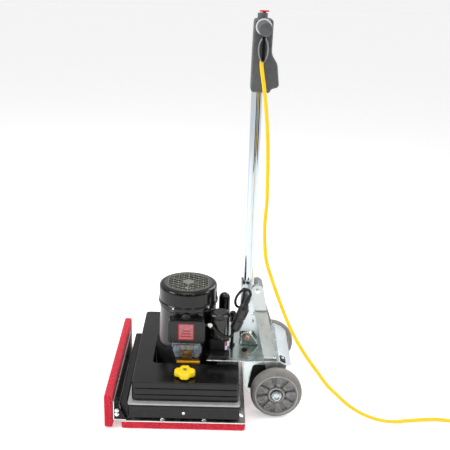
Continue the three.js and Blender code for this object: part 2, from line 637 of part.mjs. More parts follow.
// ---------------------------------------------------------------- leads and power cord
/** The two-part connector that hangs between the motor's lead and the handle's lead. */
function addMotorLead() {
  const lower = new THREE.Vector3(62, 141, 222);
  const upper = new THREE.Vector3(62, 175, 312);
  const length = lower.distanceTo(upper);
  const profile = [
    [0, 0], [8, 0], [12, 6], [14.5, 12], [14.5, 44], [13, 45.5], [14.5, 47], [14.5, 84], [11, 92], [7.5, length],
    [7, length + 22], [0, length + 22],
  ];
  const direction = upper.clone().sub(lower).normalize();
  const turn = new THREE.Quaternion().setFromUnitVectors(AXES.z, direction);
  const connector = turned(profile, 16).applyQuaternion(turn).translate(...lower.toArray());
  add('lead_connector', connector, 'blackPlastic');
  const end = lower.clone().addScaledVector(direction, length + 23);
  const start = lower.clone().addScaledVector(direction, -1);
  add('motor_lead', cable([
    start.toArray(), [65, 136.5, 212], [72, 131, 209], [81, 126, 211], [89, 119.5, 215], [95, 109, 221],
    [97.5, 98, 229], [98, 87, 239], [97, 79, 248], [94, 70, 254], [92.5, 62, 255.5],
    [92.5, JUNCTION.halfY + GAP, 255.5],
  ], 3.6, 26), 'blackRubber');
  add('handle_lead', cable([
    end.toArray(), [62, 187.3, 345], [59, 181, 357], [54, 165, 355], [50, 150, 337], [47, 143, 315], [44, 148, 297],
    [43, 158, 294], [42, 165, 307], [42, 168, 330], [39, 169.5, 341], [33, 169.5, 344], [28.7, 169.5, 344],
  ], 4, 32), 'blackRubber');
}

function addCord() {
  const { radius, x, y, top } = CORD;
  const boot = turned([[0, top + GAP], [6, top + GAP], [7, 1062], [7, 1076], [5, 1078], [0, 1078]], 16)
    .translate(x, y, 0);
  const elbow = box(HEAD.halfX + GAP, x, y - 6, y + 6, 1062, 1074);
  add('strain_relief', join(boot, elbow), 'blackRubber');
  const route = [
    [x, y, top], [x, y, 1014], [39, 192.5, 998], [42, 199.5, 957], [47, 208, 896], [54, 214, 836], [63, 218.5, 760],
    [74, 220, 683], [82, 220.5, 640], [92, 217, 578], [105, 219, 519], [116, 224.5, 476], [129, 238, 435],
    [146, 257, 387], [170, 286, 320], [192, 315, 266], [211, 349, 217], [224, 379, 180], [233, 407, 145],
    [239, 434, 120], [240, 459, 96], [238, 486, 74], [233, 515, 54], [225, 546, 36], [214, 583, 20], [202, 619, 10],
    [191, 655, 7], ...[[182, 700], [178, 750], [186, 800], [208, 850], [241, 893], [266.5, 942], [COIL_EDGE, COIL.y]]
      .map(([u, v]) => [u, v, radius + GAP]),
  ];
  add('power_cord', cable(route, radius, 76, 8), 'yellowPlastic');
  add('cord_coil', ring(COIL.inner, COIL.outer, GAP, COIL.height, 40).translate(COIL.x, COIL.y, 0), 'yellowPlastic');
  const shell = roundedRectangle(-18, 18, -26, 26, 6);
  const pins = [-7, 7].map((u) => box(u - 0.8, u + 0.8, 25, 44, 12, 18));
  const body = plate(shell, 1, 29, { bevel: 3 });
  add('plug', join(body, ...pins).translate(COIL.x + 15, COIL.y - 2, 0), 'yellowPlastic');
}

addPads();
addBaseboardHolder();
addFrame();
addSkirt();
addIsolators();
addWeights();
addClampKnobs();
addEccentricDrive();
addMotor();
addFan();
addFanCover();
addJunctionBox();
addElectrics();
addClearCover();
addChassis();
addUnderFrame();
addPivot();
addCradle();
addArms();
addWheels();
addHandle();
addHead();
addTrigger();
addMotorLead();
addCord();

export default group;
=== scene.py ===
"""Looks of the orbital floor machine: camera, light, cord, and a detailed piece for every visible solid.

The machine's lengths are in millimetres, measured from the motor's axis with the floor at z = 0, as the
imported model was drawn; at() turns such a point into the row frame's metres. The camera, the stage and the
lights are placed in metres.
"""

import math
import random

import bmesh
import bpy
from mathutils import Matrix, Vector, noise


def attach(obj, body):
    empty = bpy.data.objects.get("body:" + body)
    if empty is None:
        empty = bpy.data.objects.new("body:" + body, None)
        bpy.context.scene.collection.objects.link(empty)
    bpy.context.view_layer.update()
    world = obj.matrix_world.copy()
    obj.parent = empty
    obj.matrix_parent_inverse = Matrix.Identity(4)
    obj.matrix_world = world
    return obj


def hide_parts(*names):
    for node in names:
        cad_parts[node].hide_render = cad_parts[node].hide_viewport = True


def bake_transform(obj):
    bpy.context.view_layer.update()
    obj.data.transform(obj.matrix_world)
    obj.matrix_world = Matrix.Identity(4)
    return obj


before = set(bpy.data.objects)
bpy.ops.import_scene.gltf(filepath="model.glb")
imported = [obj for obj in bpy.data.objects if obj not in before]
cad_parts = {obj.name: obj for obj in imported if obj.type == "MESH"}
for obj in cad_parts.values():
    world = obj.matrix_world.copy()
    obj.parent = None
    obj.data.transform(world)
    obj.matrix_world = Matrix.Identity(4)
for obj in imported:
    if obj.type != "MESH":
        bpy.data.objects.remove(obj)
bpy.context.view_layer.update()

Y_MIDDLE = 60.1
UP = Vector((0, 0, 1))

# Places that several pieces share, as (Y, Z) where no letter is named.
AXLE = (270, 76.2)
PIVOT = (181, 186)
ARM_TOP = (209, 343)
RESET = (-2, 274)
GRIPS = (192.8, 1114)
TRIGGER_HINGE = (191.5, 1085)
TRIGGER_LOOP_Z = 1058
POLE_Y = 183
PIN_Z = 318
DECK_Z = 158.3
FRAME_BORE = 57  # radius
WEIGHT_STUDS = 195  # either side of the motor, along X


def at(x, y, z):
    """A point measured from the motor's axis, in the row frame's metres."""
    return Vector((x, y - Y_MIDDLE, z)) / 1000.0


# ---------------------------------------------------------------- camera
def add_camera():
    azimuth, pitch, roll = (math.radians(a) for a in (89.19, 18.86, 1.80))
    ahead = Vector((
        -math.sin(azimuth) * math.cos(pitch), math.cos(azimuth) * math.cos(pitch), -math.sin(pitch)))
    level = Vector((math.cos(azimuth), math.sin(azimuth), 0))
    above = level.cross(ahead)
    right = math.cos(roll) * level + math.sin(roll) * above
    up = -math.sin(roll) * level + math.cos(roll) * above
    data = bpy.data.cameras.new("camera")
    data.lens = 60.38
    data.sensor_width = 36
    data.clip_end = 100
    camera = bpy.data.objects.new("camera", data)
    camera.matrix_world = Matrix((right, up, -ahead)).transposed().to_4x4()
    camera.location = (2.1175, 0.01546, 1.2625)
    bpy.context.scene.collection.objects.link(camera)
    bpy.context.scene.camera = camera


# ---------------------------------------------------------------- shapes: (points, faces) in millimetres
def rounded(corners, steps=4, closed=True):
    """Corners (u, v) or (u, v, radius) joined by straight lines, each corner eased by its radius."""
    out = []
    count = len(corners)
    for i, corner in enumerate(corners):
        here = Vector(corner[:2])
        radius = corner[2] if len(corner) > 2 else 0
        if radius == 0 or (not closed and i in (0, count - 1)):
            out.append(tuple(here))
            continue
        before = Vector(corners[i - 1][:2]) - here
        after = Vector(corners[(i + 1) % count][:2]) - here
        start, end = here + before.normalized() * radius, here + after.normalized() * radius
        for k in range(steps + 1):
            t = k / steps
            out.append(tuple(start.lerp(here, t).lerp(here.lerp(end, t), t)))
    return out


def rectangle(u0, u1, v0, v1, radius=0.0, steps=4):
    return rounded([(u0, v0, radius), (u1, v0, radius), (u1, v1, radius), (u0, v1, radius)], steps)


def circle(u, v, radius, count=32):
    return [
        (u + radius * math.cos(2 * math.pi * k / count), v + radius * math.sin(2 * math.pi * k / count))
        for k in range(count)
    ]


def arc(u, v, radius, start, end, count=12):
    """Points on a circle between two angles in degrees."""
    angles = [math.radians(start + (end - start) * k / count) for k in range(count + 1)]
    return [(u + radius * math.cos(a), v + radius * math.sin(a)) for a in angles]


def moved(shape, matrix):
    return [matrix @ p for p in shape[0]], shape[1]


def shifted(shape, x=0, y=0, z=0):
    return moved(shape, Matrix.Translation((x, y, z)))


def mirrored(shape):
    """The same shape on the other side of the machine."""
    return [Vector((-p.x, p.y, p.z)) for p in shape[0]], shape[1]


def merged(*shapes):
    points, faces = [], []
    for more_points, more_faces in shapes:
        start = len(points)
        points += more_points
        faces += [[start + i for i in face] for face in more_faces]
    return points, faces


def stack(rings, wrap=False):
    """A skin over rings of points; a ring of one point closes an end."""
    points, numbers, faces = [], [], []
    for ring in rings:
        numbers.append(range(len(points), len(points) + len(ring)))
        points += ring
    for low, high in zip(numbers, numbers[1:] + (numbers[:1] if wrap else [])):
        count = max(len(low), len(high))
        if count == 1:
            continue
        for k in range(count):
            n = (k + 1) % count
            if len(low) == 1:
                faces.append([low[0], high[n], high[k]])
            elif len(high) == 1:
                faces.append([low[k], low[n], high[0]])
            else:
                faces.append([low[k], low[n], high[n], high[k]])
    return points, faces


def lathe(profile, segments=64):
    """Turns a profile of (radius, height) about Z; it closes on the axis or on itself."""
    wrap = profile[0] == profile[-1]
    rings = []
    for r, h in profile[:-1] if wrap else profile:
        spots = circle(0, 0, r, segments) if r > 0 else [(0, 0)]
        rings.append([Vector((u, v, h)) for u, v in spots])
    return stack(rings, wrap)


def turned(corners, segments=64, steps=4):
    """A lathe of corners (radius, height, easing)."""
    wrap = tuple(corners[0][:2]) == tuple(corners[-1][:2])
    if wrap:
        profile = rounded(corners[:-1], steps)
        return lathe(profile + profile[:1], segments)
    return lathe(rounded(corners, steps, closed=False), segments)


def rod(radius, low, high, ease=1.0, segments=32):
    """A round bar along Z with eased ends."""
    return turned([(0, low), (radius, low, ease), (radius, high, ease), (0, high)], segments)


def collar(inner, outer, low, high, ease, segments):
    """A ring about Z with eased outer edges."""
    return turned([(inner, low), (outer, low, ease), (outer, high, ease), (inner, high), (inner, low)],
                  segments)


def spun(shape, count, start=0):
    """Copies of a shape evenly spaced about Z, from an angle in degrees."""
    return [moved(shape, Matrix.Rotation(math.radians(start + 360 * k / count), 4,
                                         "Z")) for k in range(count)]


def opening(outline):
    """An outline run backwards, for a hole in a plate."""
    return list(reversed(outline))


def slab(outline, low, high, bevel=0.8, holes=(), steps=1):
    """A plate drawn in X and Y between two heights, with eased edges."""
    curve = bpy.data.curves.new("outline", "CURVE")
    curve.dimensions = "2D"
    curve.fill_mode = "BOTH"
    for loop in (outline, *holes):
        spline = curve.splines.new("POLY")
        spline.points.add(len(loop) - 1)
        for point, (u, v) in zip(spline.points, loop):
            point.co = (u, v, 0, 1)
        spline.use_cyclic_u = True
    curve.extrude = max((high - low) / 2 - bevel, 1e-4)
    curve.bevel_depth = bevel
    curve.bevel_resolution = steps
    curve.offset = -bevel
    holder = bpy.data.objects.new("outline", curve)
    mesh = bpy.data.meshes.new_from_object(holder)
    bm = bmesh.new()
    bm.from_mesh(mesh)
    bmesh.ops.remove_doubles(bm, verts=bm.verts, dist=1e-3)
    middle = (low + high) / 2
    points = [v.co + UP * middle for v in bm.verts]
    faces = [[v.index for v in f.verts] for f in bm.faces]
    bm.free()
    bpy.data.objects.remove(holder)
    bpy.data.meshes.remove(mesh)
    bpy.data.curves.remove(curve)
    return points, faces


def block(x0, x1, y0, y1, z0, z1, bevel=0.8, corner=0.0):
    return slab(rectangle(x0, x1, y0, y1, corner), z0, z1, bevel)


def cheek(outline, x0, x1, bevel=0.8, holes=(), steps=1):
    """A plate drawn in Y and Z between two places along X."""
    points, faces = slab(outline, x0, x1, bevel, holes, steps)
    return [Vector((p.z, p.x, p.y)) for p in points], faces


def facing_x(shape, x, y, z, turn=1):
    """Moves something made about Z so that its axis points along +X, or along -X."""
    return moved(shape, Matrix.Translation((x, y, z)) @ Matrix.Rotation(turn * math.pi / 2, 4, "Y"))


def facing(shape, place, direction):
    turn = UP.rotation_difference(Vector(direction)).to_matrix().to_4x4()
    return moved(shape, Matrix.Translation(place) @ turn)


def on_wall(shape, radius, degrees, z):
    """A shape standing out from a round wall about the motor's axis."""
    u, v = math.cos(math.radians(degrees)), math.sin(math.radians(degrees))
    return facing(shape, (radius * u, radius * v, z), (u, v, 0))


SPAN_STEPS = 12  # samples between two points of a smooth path


def smooth_path(points, spacing):
    """A centripetal Catmull-Rom curve through points, as evenly spaced samples."""
    pts = [Vector(p) for p in points]
    pts = [2 * pts[0] - pts[1], *pts, 2 * pts[-1] - pts[-2]]
    dense = []
    for a, b, c, d in zip(pts, pts[1:], pts[2:], pts[3:]):
        t0 = 0.0
        t1 = t0 + (b - a).length ** 0.5
        t2 = t1 + (c - b).length ** 0.5
        t3 = t2 + (d - c).length ** 0.5
        for k in range(SPAN_STEPS):
            t = t1 + (t2 - t1) * k / SPAN_STEPS
            ab = a.lerp(b, (t - t0) / (t1 - t0))
            bc = b.lerp(c, (t - t1) / (t2 - t1))
            cd = c.lerp(d, (t - t2) / (t3 - t2))
            first = ab.lerp(bc, (t - t0) / (t2 - t0))
            second = bc.lerp(cd, (t - t1) / (t3 - t1))
            dense.append(first.lerp(second, (t - t1) / (t2 - t1)))
    dense.append(pts[-2])
    total = sum((b - a).length for a, b in zip(dense, dense[1:]))
    count = max(round(total / spacing), 2)
    out, walked, want = [dense[0]], 0.0, 1
    for a, b in zip(dense, dense[1:]):
        step = (b - a).length
        while want < count and walked + step >= want * total / count:
            out.append(a.lerp(b, (want * total / count - walked) / step))
            want += 1
        walked += step
    out.append(dense[-1])
    return out


def tube(path, radius, sides=12):
    """A closed round tube along a path."""
    rings = [[path[0].copy()]]
    tangent = (path[1] - path[0]).normalized()
    normal = tangent.orthogonal().normalized()
    for i, here in enumerate(path):
        ahead = (path[min(i + 1, len(path) - 1)] - path[max(i - 1, 0)]).normalized()
        normal = (tangent.rotation_difference(ahead) @ normal).normalized()
        tangent = ahead
        side = tangent.cross(normal)
        rings.append([here + radius * (u * normal + v * side) for u, v in circle(0, 0, 1, sides)])
    rings.append([path[-1].copy()])
    return stack(rings)


def loft(outline, levels):
    """Closed body of one outline (u, v) about the origin, at levels of (height, inset)."""
    rings = [[Vector((0, 0, levels[0][0]))]]
    for height, inset in levels:
        ring = []
        for u, v in outline:
            length = math.hypot(u, v)
            share = max(length - inset, 0.1) / length
            ring.append(Vector((u * share, v * share, height)))
        rings.append(ring)
    rings.append([Vector((0, 0, levels[-1][0]))])
    return stack(rings)


def hex_head(across, height, washer=0.0):
    """A hexagon head or nut with a chamfered top, on an optional washer."""
    r = across / math.sqrt(3)
    head = lathe([(0, 0), (r, 0), (r, height * 0.8), (r * 0.86, height), (r * 0.45, height),
                  (0, height * 0.86)], 6)
    if not washer:
        return head
    ring = turned([(0, -0.2), (washer, -0.2, 0.4), (washer, 1.6, 0.5), (0, 1.6)], 28)
    return merged(ring, shifted(head, z=1.5))


def screw(radius, height):
    """A pan-head screw with a socket."""
    return lathe([
        (0, 0), (radius, 0), (radius, height * 0.45), (radius * 0.82, height * 0.85), (radius * 0.45, height),
        (radius * 0.36, height * 0.4), (0, height * 0.35),
    ], 18)


# ---------------------------------------------------------------- materials
MATERIALS = {}


def set_inputs(node, **values):
    """Sets a node's inputs; an underscore stands for a space in an input's name."""
    for name, value in values.items():
        node.inputs[name.replace("_", " ")].default_value = value


def add_node(tree, kind, **values):
    node = tree.nodes.new("ShaderNode" + kind)
    set_inputs(node, **values)
    return node


def add_ramp(tree, stops):
    """A colour ramp with stops of (position, colour)."""
    ramp = add_node(tree, "ValToRGB")
    while len(ramp.color_ramp.elements) < len(stops):
        ramp.color_ramp.elements.new(0.5)
    for element, (position, colour) in zip(ramp.color_ramp.elements, stops):
        element.position = position
        element.color = (*colour, 1)
    return ramp


def material(
    name, colour, rough=0.5, metal=0.0, vary=0.10, grain=40.0, rough_vary=0.1, bump=0.1, bump_grain=900.0,
    stretch=(1, 1, 1), coat=0.0, sheen=0.0, other=None, clear=0.0, specular=0.5,
):
    """A procedural finish: mottled colour, uneven roughness and a fine surface relief."""
    made = bpy.data.materials.new(name)
    made.use_nodes = True
    tree = made.node_tree
    link = tree.links.new
    shader = tree.nodes["Principled BSDF"]
    set_inputs(
        shader, Metallic=metal, Specular_IOR_Level=specular, Coat_Weight=coat, Coat_Roughness=0.08,
        Sheen_Weight=sheen, Transmission_Weight=clear)
    where = add_node(tree, "TexCoord")
    scale = add_node(tree, "Mapping", Scale=stretch)
    link(where.outputs["Object"], scale.inputs["Vector"])
    cloud = add_node(tree, "TexNoise", Scale=grain, Detail=6, Roughness=0.6)
    link(scale.outputs["Vector"], cloud.inputs["Vector"])
    dark = [c * (1 - vary) for c in colour]
    light = other or [min(c * (1 + vary) + 0.01 * vary, 1) for c in colour]
    ramp = add_ramp(tree, ((0.36, dark), (0.66, light)))
    link(cloud.outputs["Fac"], ramp.inputs["Fac"])
    link(ramp.outputs["Color"], shader.inputs["Base Color"])
    spread = add_node(
        tree, "MapRange", From_Min=0.3, From_Max=0.7, To_Min=max(rough * (1 - rough_vary), 0.02),
        To_Max=min(rough * (1 + rough_vary), 1))
    link(cloud.outputs["Fac"], spread.inputs["Value"])
    link(spread.outputs["Result"], shader.inputs["Roughness"])
    fine = add_node(tree, "TexNoise", Scale=bump_grain, Detail=3)
    link(scale.outputs["Vector"], fine.inputs["Vector"])
    relief = add_node(tree, "Bump", Strength=bump, Distance=0.001)
    link(fine.outputs["Fac"], relief.inputs["Height"])
    link(relief.outputs["Normal"], shader.inputs["Normal"])
    MATERIALS[name] = made
    return made


def add_materials():
    material("black_paint", (0.0045, 0.0045, 0.005), 0.17, vary=0.3, bump=0.04, bump_grain=200, coat=0.25,
             specular=0.42)
    material("foot_paint", (0.006, 0.006, 0.006), 0.50, vary=0.3, bump=0.12, bump_grain=500, specular=0.3)
    material("cast_weight", (0.0045, 0.0045, 0.0045), 0.24, vary=0.35, bump=0.12, bump_grain=160,
             specular=0.36)
    material("cover_paint", (0.005, 0.005, 0.0045), 0.17, vary=0.2, bump=0.04, bump_grain=420, coat=0.10,
             specular=0.32)
    material("grille_paint", (0.19, 0.19, 0.165), 0.40, vary=0.10, bump=0.08, bump_grain=420)
    material("margin_paint", (0.060, 0.060, 0.052), 0.34, vary=0.15, bump=0.08, bump_grain=420)
    material("lid_paint", (0.009, 0.009, 0.0095), 0.26, vary=0.2, bump=0.05, bump_grain=500, specular=0.42)
    material("grey_paint", (0.42, 0.43, 0.42), 0.40, 0.35, vary=0.10, bump=0.08, bump_grain=350)
    material("black_plastic", (0.007, 0.007, 0.0075), 0.33, vary=0.25, bump=0.12, bump_grain=900,
             specular=0.42)
    material("connector_plastic", (0.012, 0.012, 0.012), 0.28, vary=0.25, bump=0.12, bump_grain=900, coat=0.2)
    material("black_rubber", (0.009, 0.009, 0.009), 0.42, vary=0.25, bump=0.14, bump_grain=700, specular=0.34)
    material("head_plastic", (0.092, 0.099, 0.105), 0.46, vary=0.16, grain=120, bump=0.35, bump_grain=1100)
    material("grip_rubber", (0.085, 0.090, 0.094), 0.55, vary=0.18, bump=0.25, bump_grain=900)
    # Light grey: partly the collars' own colour, partly a painted highlight.
    material("collar_plastic_and_painted_highlight", (0.52, 0.53, 0.53), 0.38, vary=0.08, bump=0.10, bump_grain=900)
    material("screw_black", (0.05, 0.05, 0.05), 0.35, 0.6, vary=0.2, bump=0.06)
    material("hub_plastic", (0.225, 0.222, 0.222), 0.42, vary=0.12, bump=0.14, bump_grain=800)
    material("rim_plastic", (0.36, 0.35, 0.34), 0.36, vary=0.08, bump=0.10, bump_grain=800)
    material("grey_tyre", (0.20, 0.188, 0.178), 0.55, vary=0.14, grain=22, bump=0.22, bump_grain=650)
    material(
        "zinc", (0.55, 0.59, 0.585), 0.34, 1.0, vary=0.10, grain=26, rough_vary=0.3, bump=0.05,
        bump_grain=300, stretch=(1, 1, 0.3))
    material(
        "deck_zinc", (0.60, 0.67, 0.66), 0.24, 1.0, vary=0.13, grain=18, rough_vary=0.4, bump=0.06,
        bump_grain=160, stretch=(1.6, 0.35, 1))
    material("cradle_zinc", (0.60, 0.645, 0.67), 0.30, 1.0, vary=0.06, grain=14, rough_vary=0.12, bump=0.02)
    material("lug_zinc", (0.40, 0.50, 0.43), 0.36, 1.0, vary=0.16, grain=45, rough_vary=0.3, bump=0.06)
    material("bright_zinc", (0.80, 0.82, 0.83), 0.25, 1.0, vary=0.08, grain=30, rough_vary=0.3, bump=0.05)
    material("chrome", (0.58, 0.635, 0.675), 0.05, 1.0, vary=0.02, rough_vary=0.4, bump=0.01, bump_grain=60)
    material("steel", (0.62, 0.62, 0.61), 0.28, 1.0, vary=0.12, rough_vary=0.3, bump=0.06, bump_grain=500)
    material(
        "rolled_steel", (0.74, 0.74, 0.72), 0.30, 1.0, vary=0.10, rough_vary=0.3, bump=0.06, bump_grain=260,
        stretch=(0.3, 1, 1))
    material("bronze_bolt", (0.62, 0.40, 0.28), 0.34, 1.0, vary=0.20, grain=160, bump=0.08)
    material("cast_iron", (0.14, 0.14, 0.145), 0.6, 0.6, vary=0.2, bump=0.3, bump_grain=400)
    material(
        "red_pad", (0.58, 0.005, 0.020), 0.92, vary=0.30, grain=230, other=(0.94, 0.034, 0.078), bump=0.9,
        bump_grain=1500, sheen=0.2, specular=0.2)
    material(
        "red_fibre", (0.78, 0.014, 0.042), 0.8, vary=0.25, grain=300, other=(0.98, 0.10, 0.16), sheen=0.2,
        specular=0.2)
    material("red_plastic", (0.70, 0.012, 0.016), 0.32, vary=0.08, bump=0.06)
    material("yellow_plastic", (1.0, 0.66, 0.002), 0.36, vary=0.06, bump=0.10, bump_grain=700)
    material("orange_bar", (0.92, 0.40, 0.004), 0.42, vary=0.10, bump=0.08)
    material("cord_jacket", (1.0, 0.60, 0.004), 0.42, vary=0.06, grain=60, bump=0.10, bump_grain=1200)
    material("brass", (0.74, 0.45, 0.17), 0.36, 0.7, vary=0.35, grain=120, bump=0.1)
    material("white_nylon", (0.80, 0.80, 0.78), 0.42, vary=0.05, bump=0.06)
    material("label_red", (0.44, 0.006, 0.020), 0.30, vary=0.06, bump=0.03)
    material("label_pink", (0.52, 0.17, 0.20), 0.34, vary=0.25, grain=420, bump=0.03)
    material("label_blue", (0.05, 0.13, 0.48), 0.34, vary=0.08, bump=0.03)
    # Pale bluish grey: partly the terminals' own colour, partly painted highlight for the clear cover.
    material("terminal_grey_and_painted_highlight", (0.66, 0.69, 0.75), 0.30, 0.2, vary=0.30, grain=120, bump=0.08)
    material("trigger_plastic", (0.30, 0.31, 0.32), 0.30, vary=0.10, bump=0.06)
    material("trigger_bar", (0.004, 0.004, 0.004), 0.24, vary=0.2, bump=0.05, specular=0.4)
    material("clear_plastic", (0.90, 0.94, 0.98), 0.05, vary=0.02, bump=0.02, bump_grain=90, clear=1.0)


# ---------------------------------------------------------------- pieces
FIBROUS = 60  # degrees of sharpness from which a piece is soft all over


def even_shading(made):
    """Shades flat faces flat, right up to their eased edges."""
    even = made.modifiers.new("even", "WEIGHTED_NORMAL")
    even.keep_sharp = True
    graph = bpy.context.evaluated_depsgraph_get()
    made.data = bpy.data.meshes.new_from_object(made.evaluated_get(graph), depsgraph=graph)
    made.data.name = made.name
    made.modifiers.clear()


def piece(name, body, finish, shape, replaces=(), sharp=38):
    """A mesh object made from a shape, riding on a body and standing for CAD nodes."""
    points, faces = shape
    mesh = bpy.data.meshes.new(name)
    mesh.from_pydata([at(*p) for p in points], [], faces)
    bm = bmesh.new()
    bm.from_mesh(mesh)
    bmesh.ops.recalc_face_normals(bm, faces=bm.faces)
    bm.to_mesh(mesh)
    bm.free()
    mesh.shade_smooth()
    mesh.set_sharp_from_angle(angle=math.radians(sharp))
    mesh.materials.append(MATERIALS[finish])
    made = bpy.data.objects.new(name, mesh)
    bpy.context.scene.collection.objects.link(made)
    if sharp < FIBROUS:
        even_shading(made)
    if body:
        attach(made, body)
    if replaces:
        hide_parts(*([replaces] if isinstance(replaces, str) else replaces))
    return made


# ---------------------------------------------------------------- cord
CORD_RADIUS = 5.5
EXIT = (38, 190.5, 1025.7)
COIL = {"x": 120, "y": 990, "inner": 84, "pitch": 11.3, "columns": 6, "layers": 3, "rise": 11.2, "low": 5.8}
PLUG = (135, 988)


def cord_route():
    """The cord down from the head and along the floor to its coil."""
    drop = [
        EXIT, (38, 190.5, 1014), (39, 192.5, 998), (42, 199.5, 957), (47, 208, 896), (54, 214, 836),
        (63, 218.5, 760), (74, 220, 683), (82, 220.5, 640), (92, 217, 578), (105, 219, 519),
        (116, 224.5, 476), (129, 238, 435), (146, 257, 387), (170, 286, 320), (192, 315, 266),
        (211, 349, 217), (224, 379, 180), (233, 407, 145), (239, 434, 120), (240, 459, 96), (238, 486, 74),
        (233, 515, 54), (225, 546, 36), (214, 583, 20), (202, 619, 10), (191, 655, 7),
    ]
    floor = [(182, 700), (178, 750), (186, 800), (208, 850), (241, 893), (266.5, 942), (273.5, 990)]
    return drop + [(u, v, COIL["low"]) for u, v in floor]


def eased(t):
    t = min(max(t, 0.0), 1.0)
    return t * t * (3 - 2 * t)


def coil_points(first_radius):
    """Three layers of six turns, from the outside in, out again and in again."""
    columns, layers = COIL["columns"], COIL["layers"]
    radii = [COIL["inner"] + COIL["pitch"] * k for k in range(columns)]
    plan = []
    for layer in range(layers):
        plan += [(r, layer) for r in (radii if layer % 2 else reversed(radii))]
    step, last_part = 10, 150  # degrees
    first_shift, shift = 110.0, 70.0  # degrees over which a turn changes its radius
    aside = 4.4  # how far the cord steps round the turn below as it climbs
    out = []
    last = 360 * (len(plan) - 1) + last_part
    for angle in range(step, last + 1, step):
        turn, part = divmod(angle, 360)
        radius, layer = plan[turn]
        before_radius, before_layer = plan[turn - 1] if turn else (first_radius, 0)
        share = eased(part / (first_shift if turn == 0 else shift))
        r = before_radius + (radius - before_radius) * share
        z = COIL["low"] + COIL["rise"] * (before_layer + (layer - before_layer) * share)
        if layer != before_layer and part < shift:
            r += (aside if layer % 2 == 0 else -aside) * math.sin(math.pi * share)
        a = math.radians(angle)
        out.append((COIL["x"] + r * math.cos(a), COIL["y"] + r * math.sin(a), z))
    return out


def add_cord():
    top = COIL["low"] + COIL["rise"] * (COIL["layers"] - 1)
    tail = [
        (40, 1010, top), (39.5, 988, top), (43.5, 966, top), (51.6, 945.5, top), (65, 929.5, top),
        (83, 920.5, top), (101, 920.2, 27), (117.5, 927.5, 24), (129, 940.5, 19.5), (134.4, 952, 16),
        (135, 962, 15),
    ]
    route = cord_route()
    path = smooth_path(route + coil_points(route[-1][0] - COIL["x"]) + tail, 9.0)
    jacket = piece("power_cord_jacket", None, "cord_jacket", tube(path, CORD_RADIUS, 12),
                   ("power_cord", "cord_coil"))
    length = sum((b - a).length for a, b in zip(path, path[1:])) / 1000
    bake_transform(jacket)
    return jacket, path, length


def add_coil_tie():
    """A hook-and-loop strap round the coil's section."""
    angle = math.radians(62)
    out = Vector((math.cos(angle), math.sin(angle), 0))
    along = Vector((-math.sin(angle), math.cos(angle), 0))
    centre = Vector((COIL["x"], COIL["y"], 0))
    inner = rounded([(76.5, 0.27, 4), (148, 0.27, 4), (148, 34.4, 7), (76.5, 34.4, 7)], 4)
    outer = rounded([(74.9, 0.04, 4), (149.6, 0.04, 4), (149.6, 36.0, 8), (74.9, 36.0, 8)], 4)
    loops = ((inner, 10), (outer, 10), (outer, -10), (inner, -10))
    strap = stack([[centre + out * r + UP * h + along * half for r, h in loop] for loop, half in loops],
                  wrap=True)
    flap = [
        centre + out * r + UP * h + along * w
        for r, h in ((96, 36.1), (133, 36.1), (133, 37.5), (96, 37.5)) for w in (-9.6, 9.6)
    ]
    cover = (flap, [[0, 1, 3, 2], [2, 3, 5, 4], [4, 5, 7, 6], [6, 7, 1, 0], [0, 2, 4, 6], [1, 7, 5, 3]])
    return piece("coil_tie", "chassis", "black_rubber", merged(strap, cover))


def add_plug():
    """A moulded straight plug with finger ridges, two blades and an earth pin."""
    x, y = PLUG
    body = slab(rounded([(-18, -14, 6), (-11, -26, 4), (11, -26, 4), (18, -14, 6), (18, 26, 4),
                         (-18, 26, 4)]),
                1, 29, 4, steps=3)
    ridges = [slab(rectangle(-18.6, 18.6, v, v + 2.6, 1.2), 3.5, 26.5, 1.2) for v in (-9, -3.5, 2, 7.5)]
    neck = facing(lathe([(0, 0), (7.4, 0), (7.4, 5), (8.6, 9), (8.6, 14), (0, 14)], 20), (0, -31, 15),
                  (0, 1, 0))
    moulded = shifted(merged(body, neck, *ridges), x, y)
    plug = piece("plug_body", "chassis", "cord_jacket", moulded, "plug")
    blades = [block(u - 0.8, u + 0.8, 25, 44, 15, 21, 0.5) for u in (-6.4, 6.4)]
    earth = facing(turned([(0, 0), (2.4, 0), (2.4, 20, 1.8), (0, 21)], 16), (0, 25, 9), (0, 1, 0))
    pins = piece("plug_pins", "chassis", "brass", shifted(merged(*blades, earth), x, y))
    return [plug, pins]


# ---------------------------------------------------------------- pads, driver plate and baseboard holder
def pad_skin(half_x, half_y, low, high, seed, corner=5.0):
    """A fibrous pad: a rounded block with ragged, slightly crowned sides."""
    spacing, edge, ragged = 3.2, 12, 0.9
    outline = rectangle(-half_x, half_x, -half_y, half_y, corner, 5)
    fine = []
    for (u0, v0), (u1, v1) in zip(outline, outline[1:] + outline[:1]):
        count = max(round(math.hypot(u1 - u0, v1 - v0) / spacing), 1)
        fine += [(u0 + (u1 - u0) * k / count, v0 + (v1 - v0) * k / count) for k in range(count)]
    height = high - low
    levels = [(0, 3.0), (0.06, 1.1), (0.2, 0.5), (0.4, 0.35), (0.6, 0.35), (0.8, 0.5), (0.94, 1.1), (1, 3.0)]
    rings = [[Vector((0, 0, low))]]
    for share, inset in levels:
        ring = []
        for u, v in fine:
            spot = Vector((u * 0.11 + seed, v * 0.11, share * height * 0.22))
            rough = inset + ragged * abs(noise.noise(spot)) + ragged * abs(noise.noise(spot * 3.1))
            lift = 0.35 * noise.noise(spot * 2.3) if 0 < share < 1 else 0
            ring.append(Vector((
                u - math.copysign(rough, u) * (abs(u) > half_x - edge),
                v - math.copysign(rough, v) * (abs(v) > half_y - edge), low + share * height + lift)))
        rings.append(ring)
    rings.append([Vector((0, 0, high))])
    return stack(rings)


STRAND_RADIUS = 0.22
FLOOR_PAD_STRANDS, BASEBOARD_STRANDS = 1500, 2300


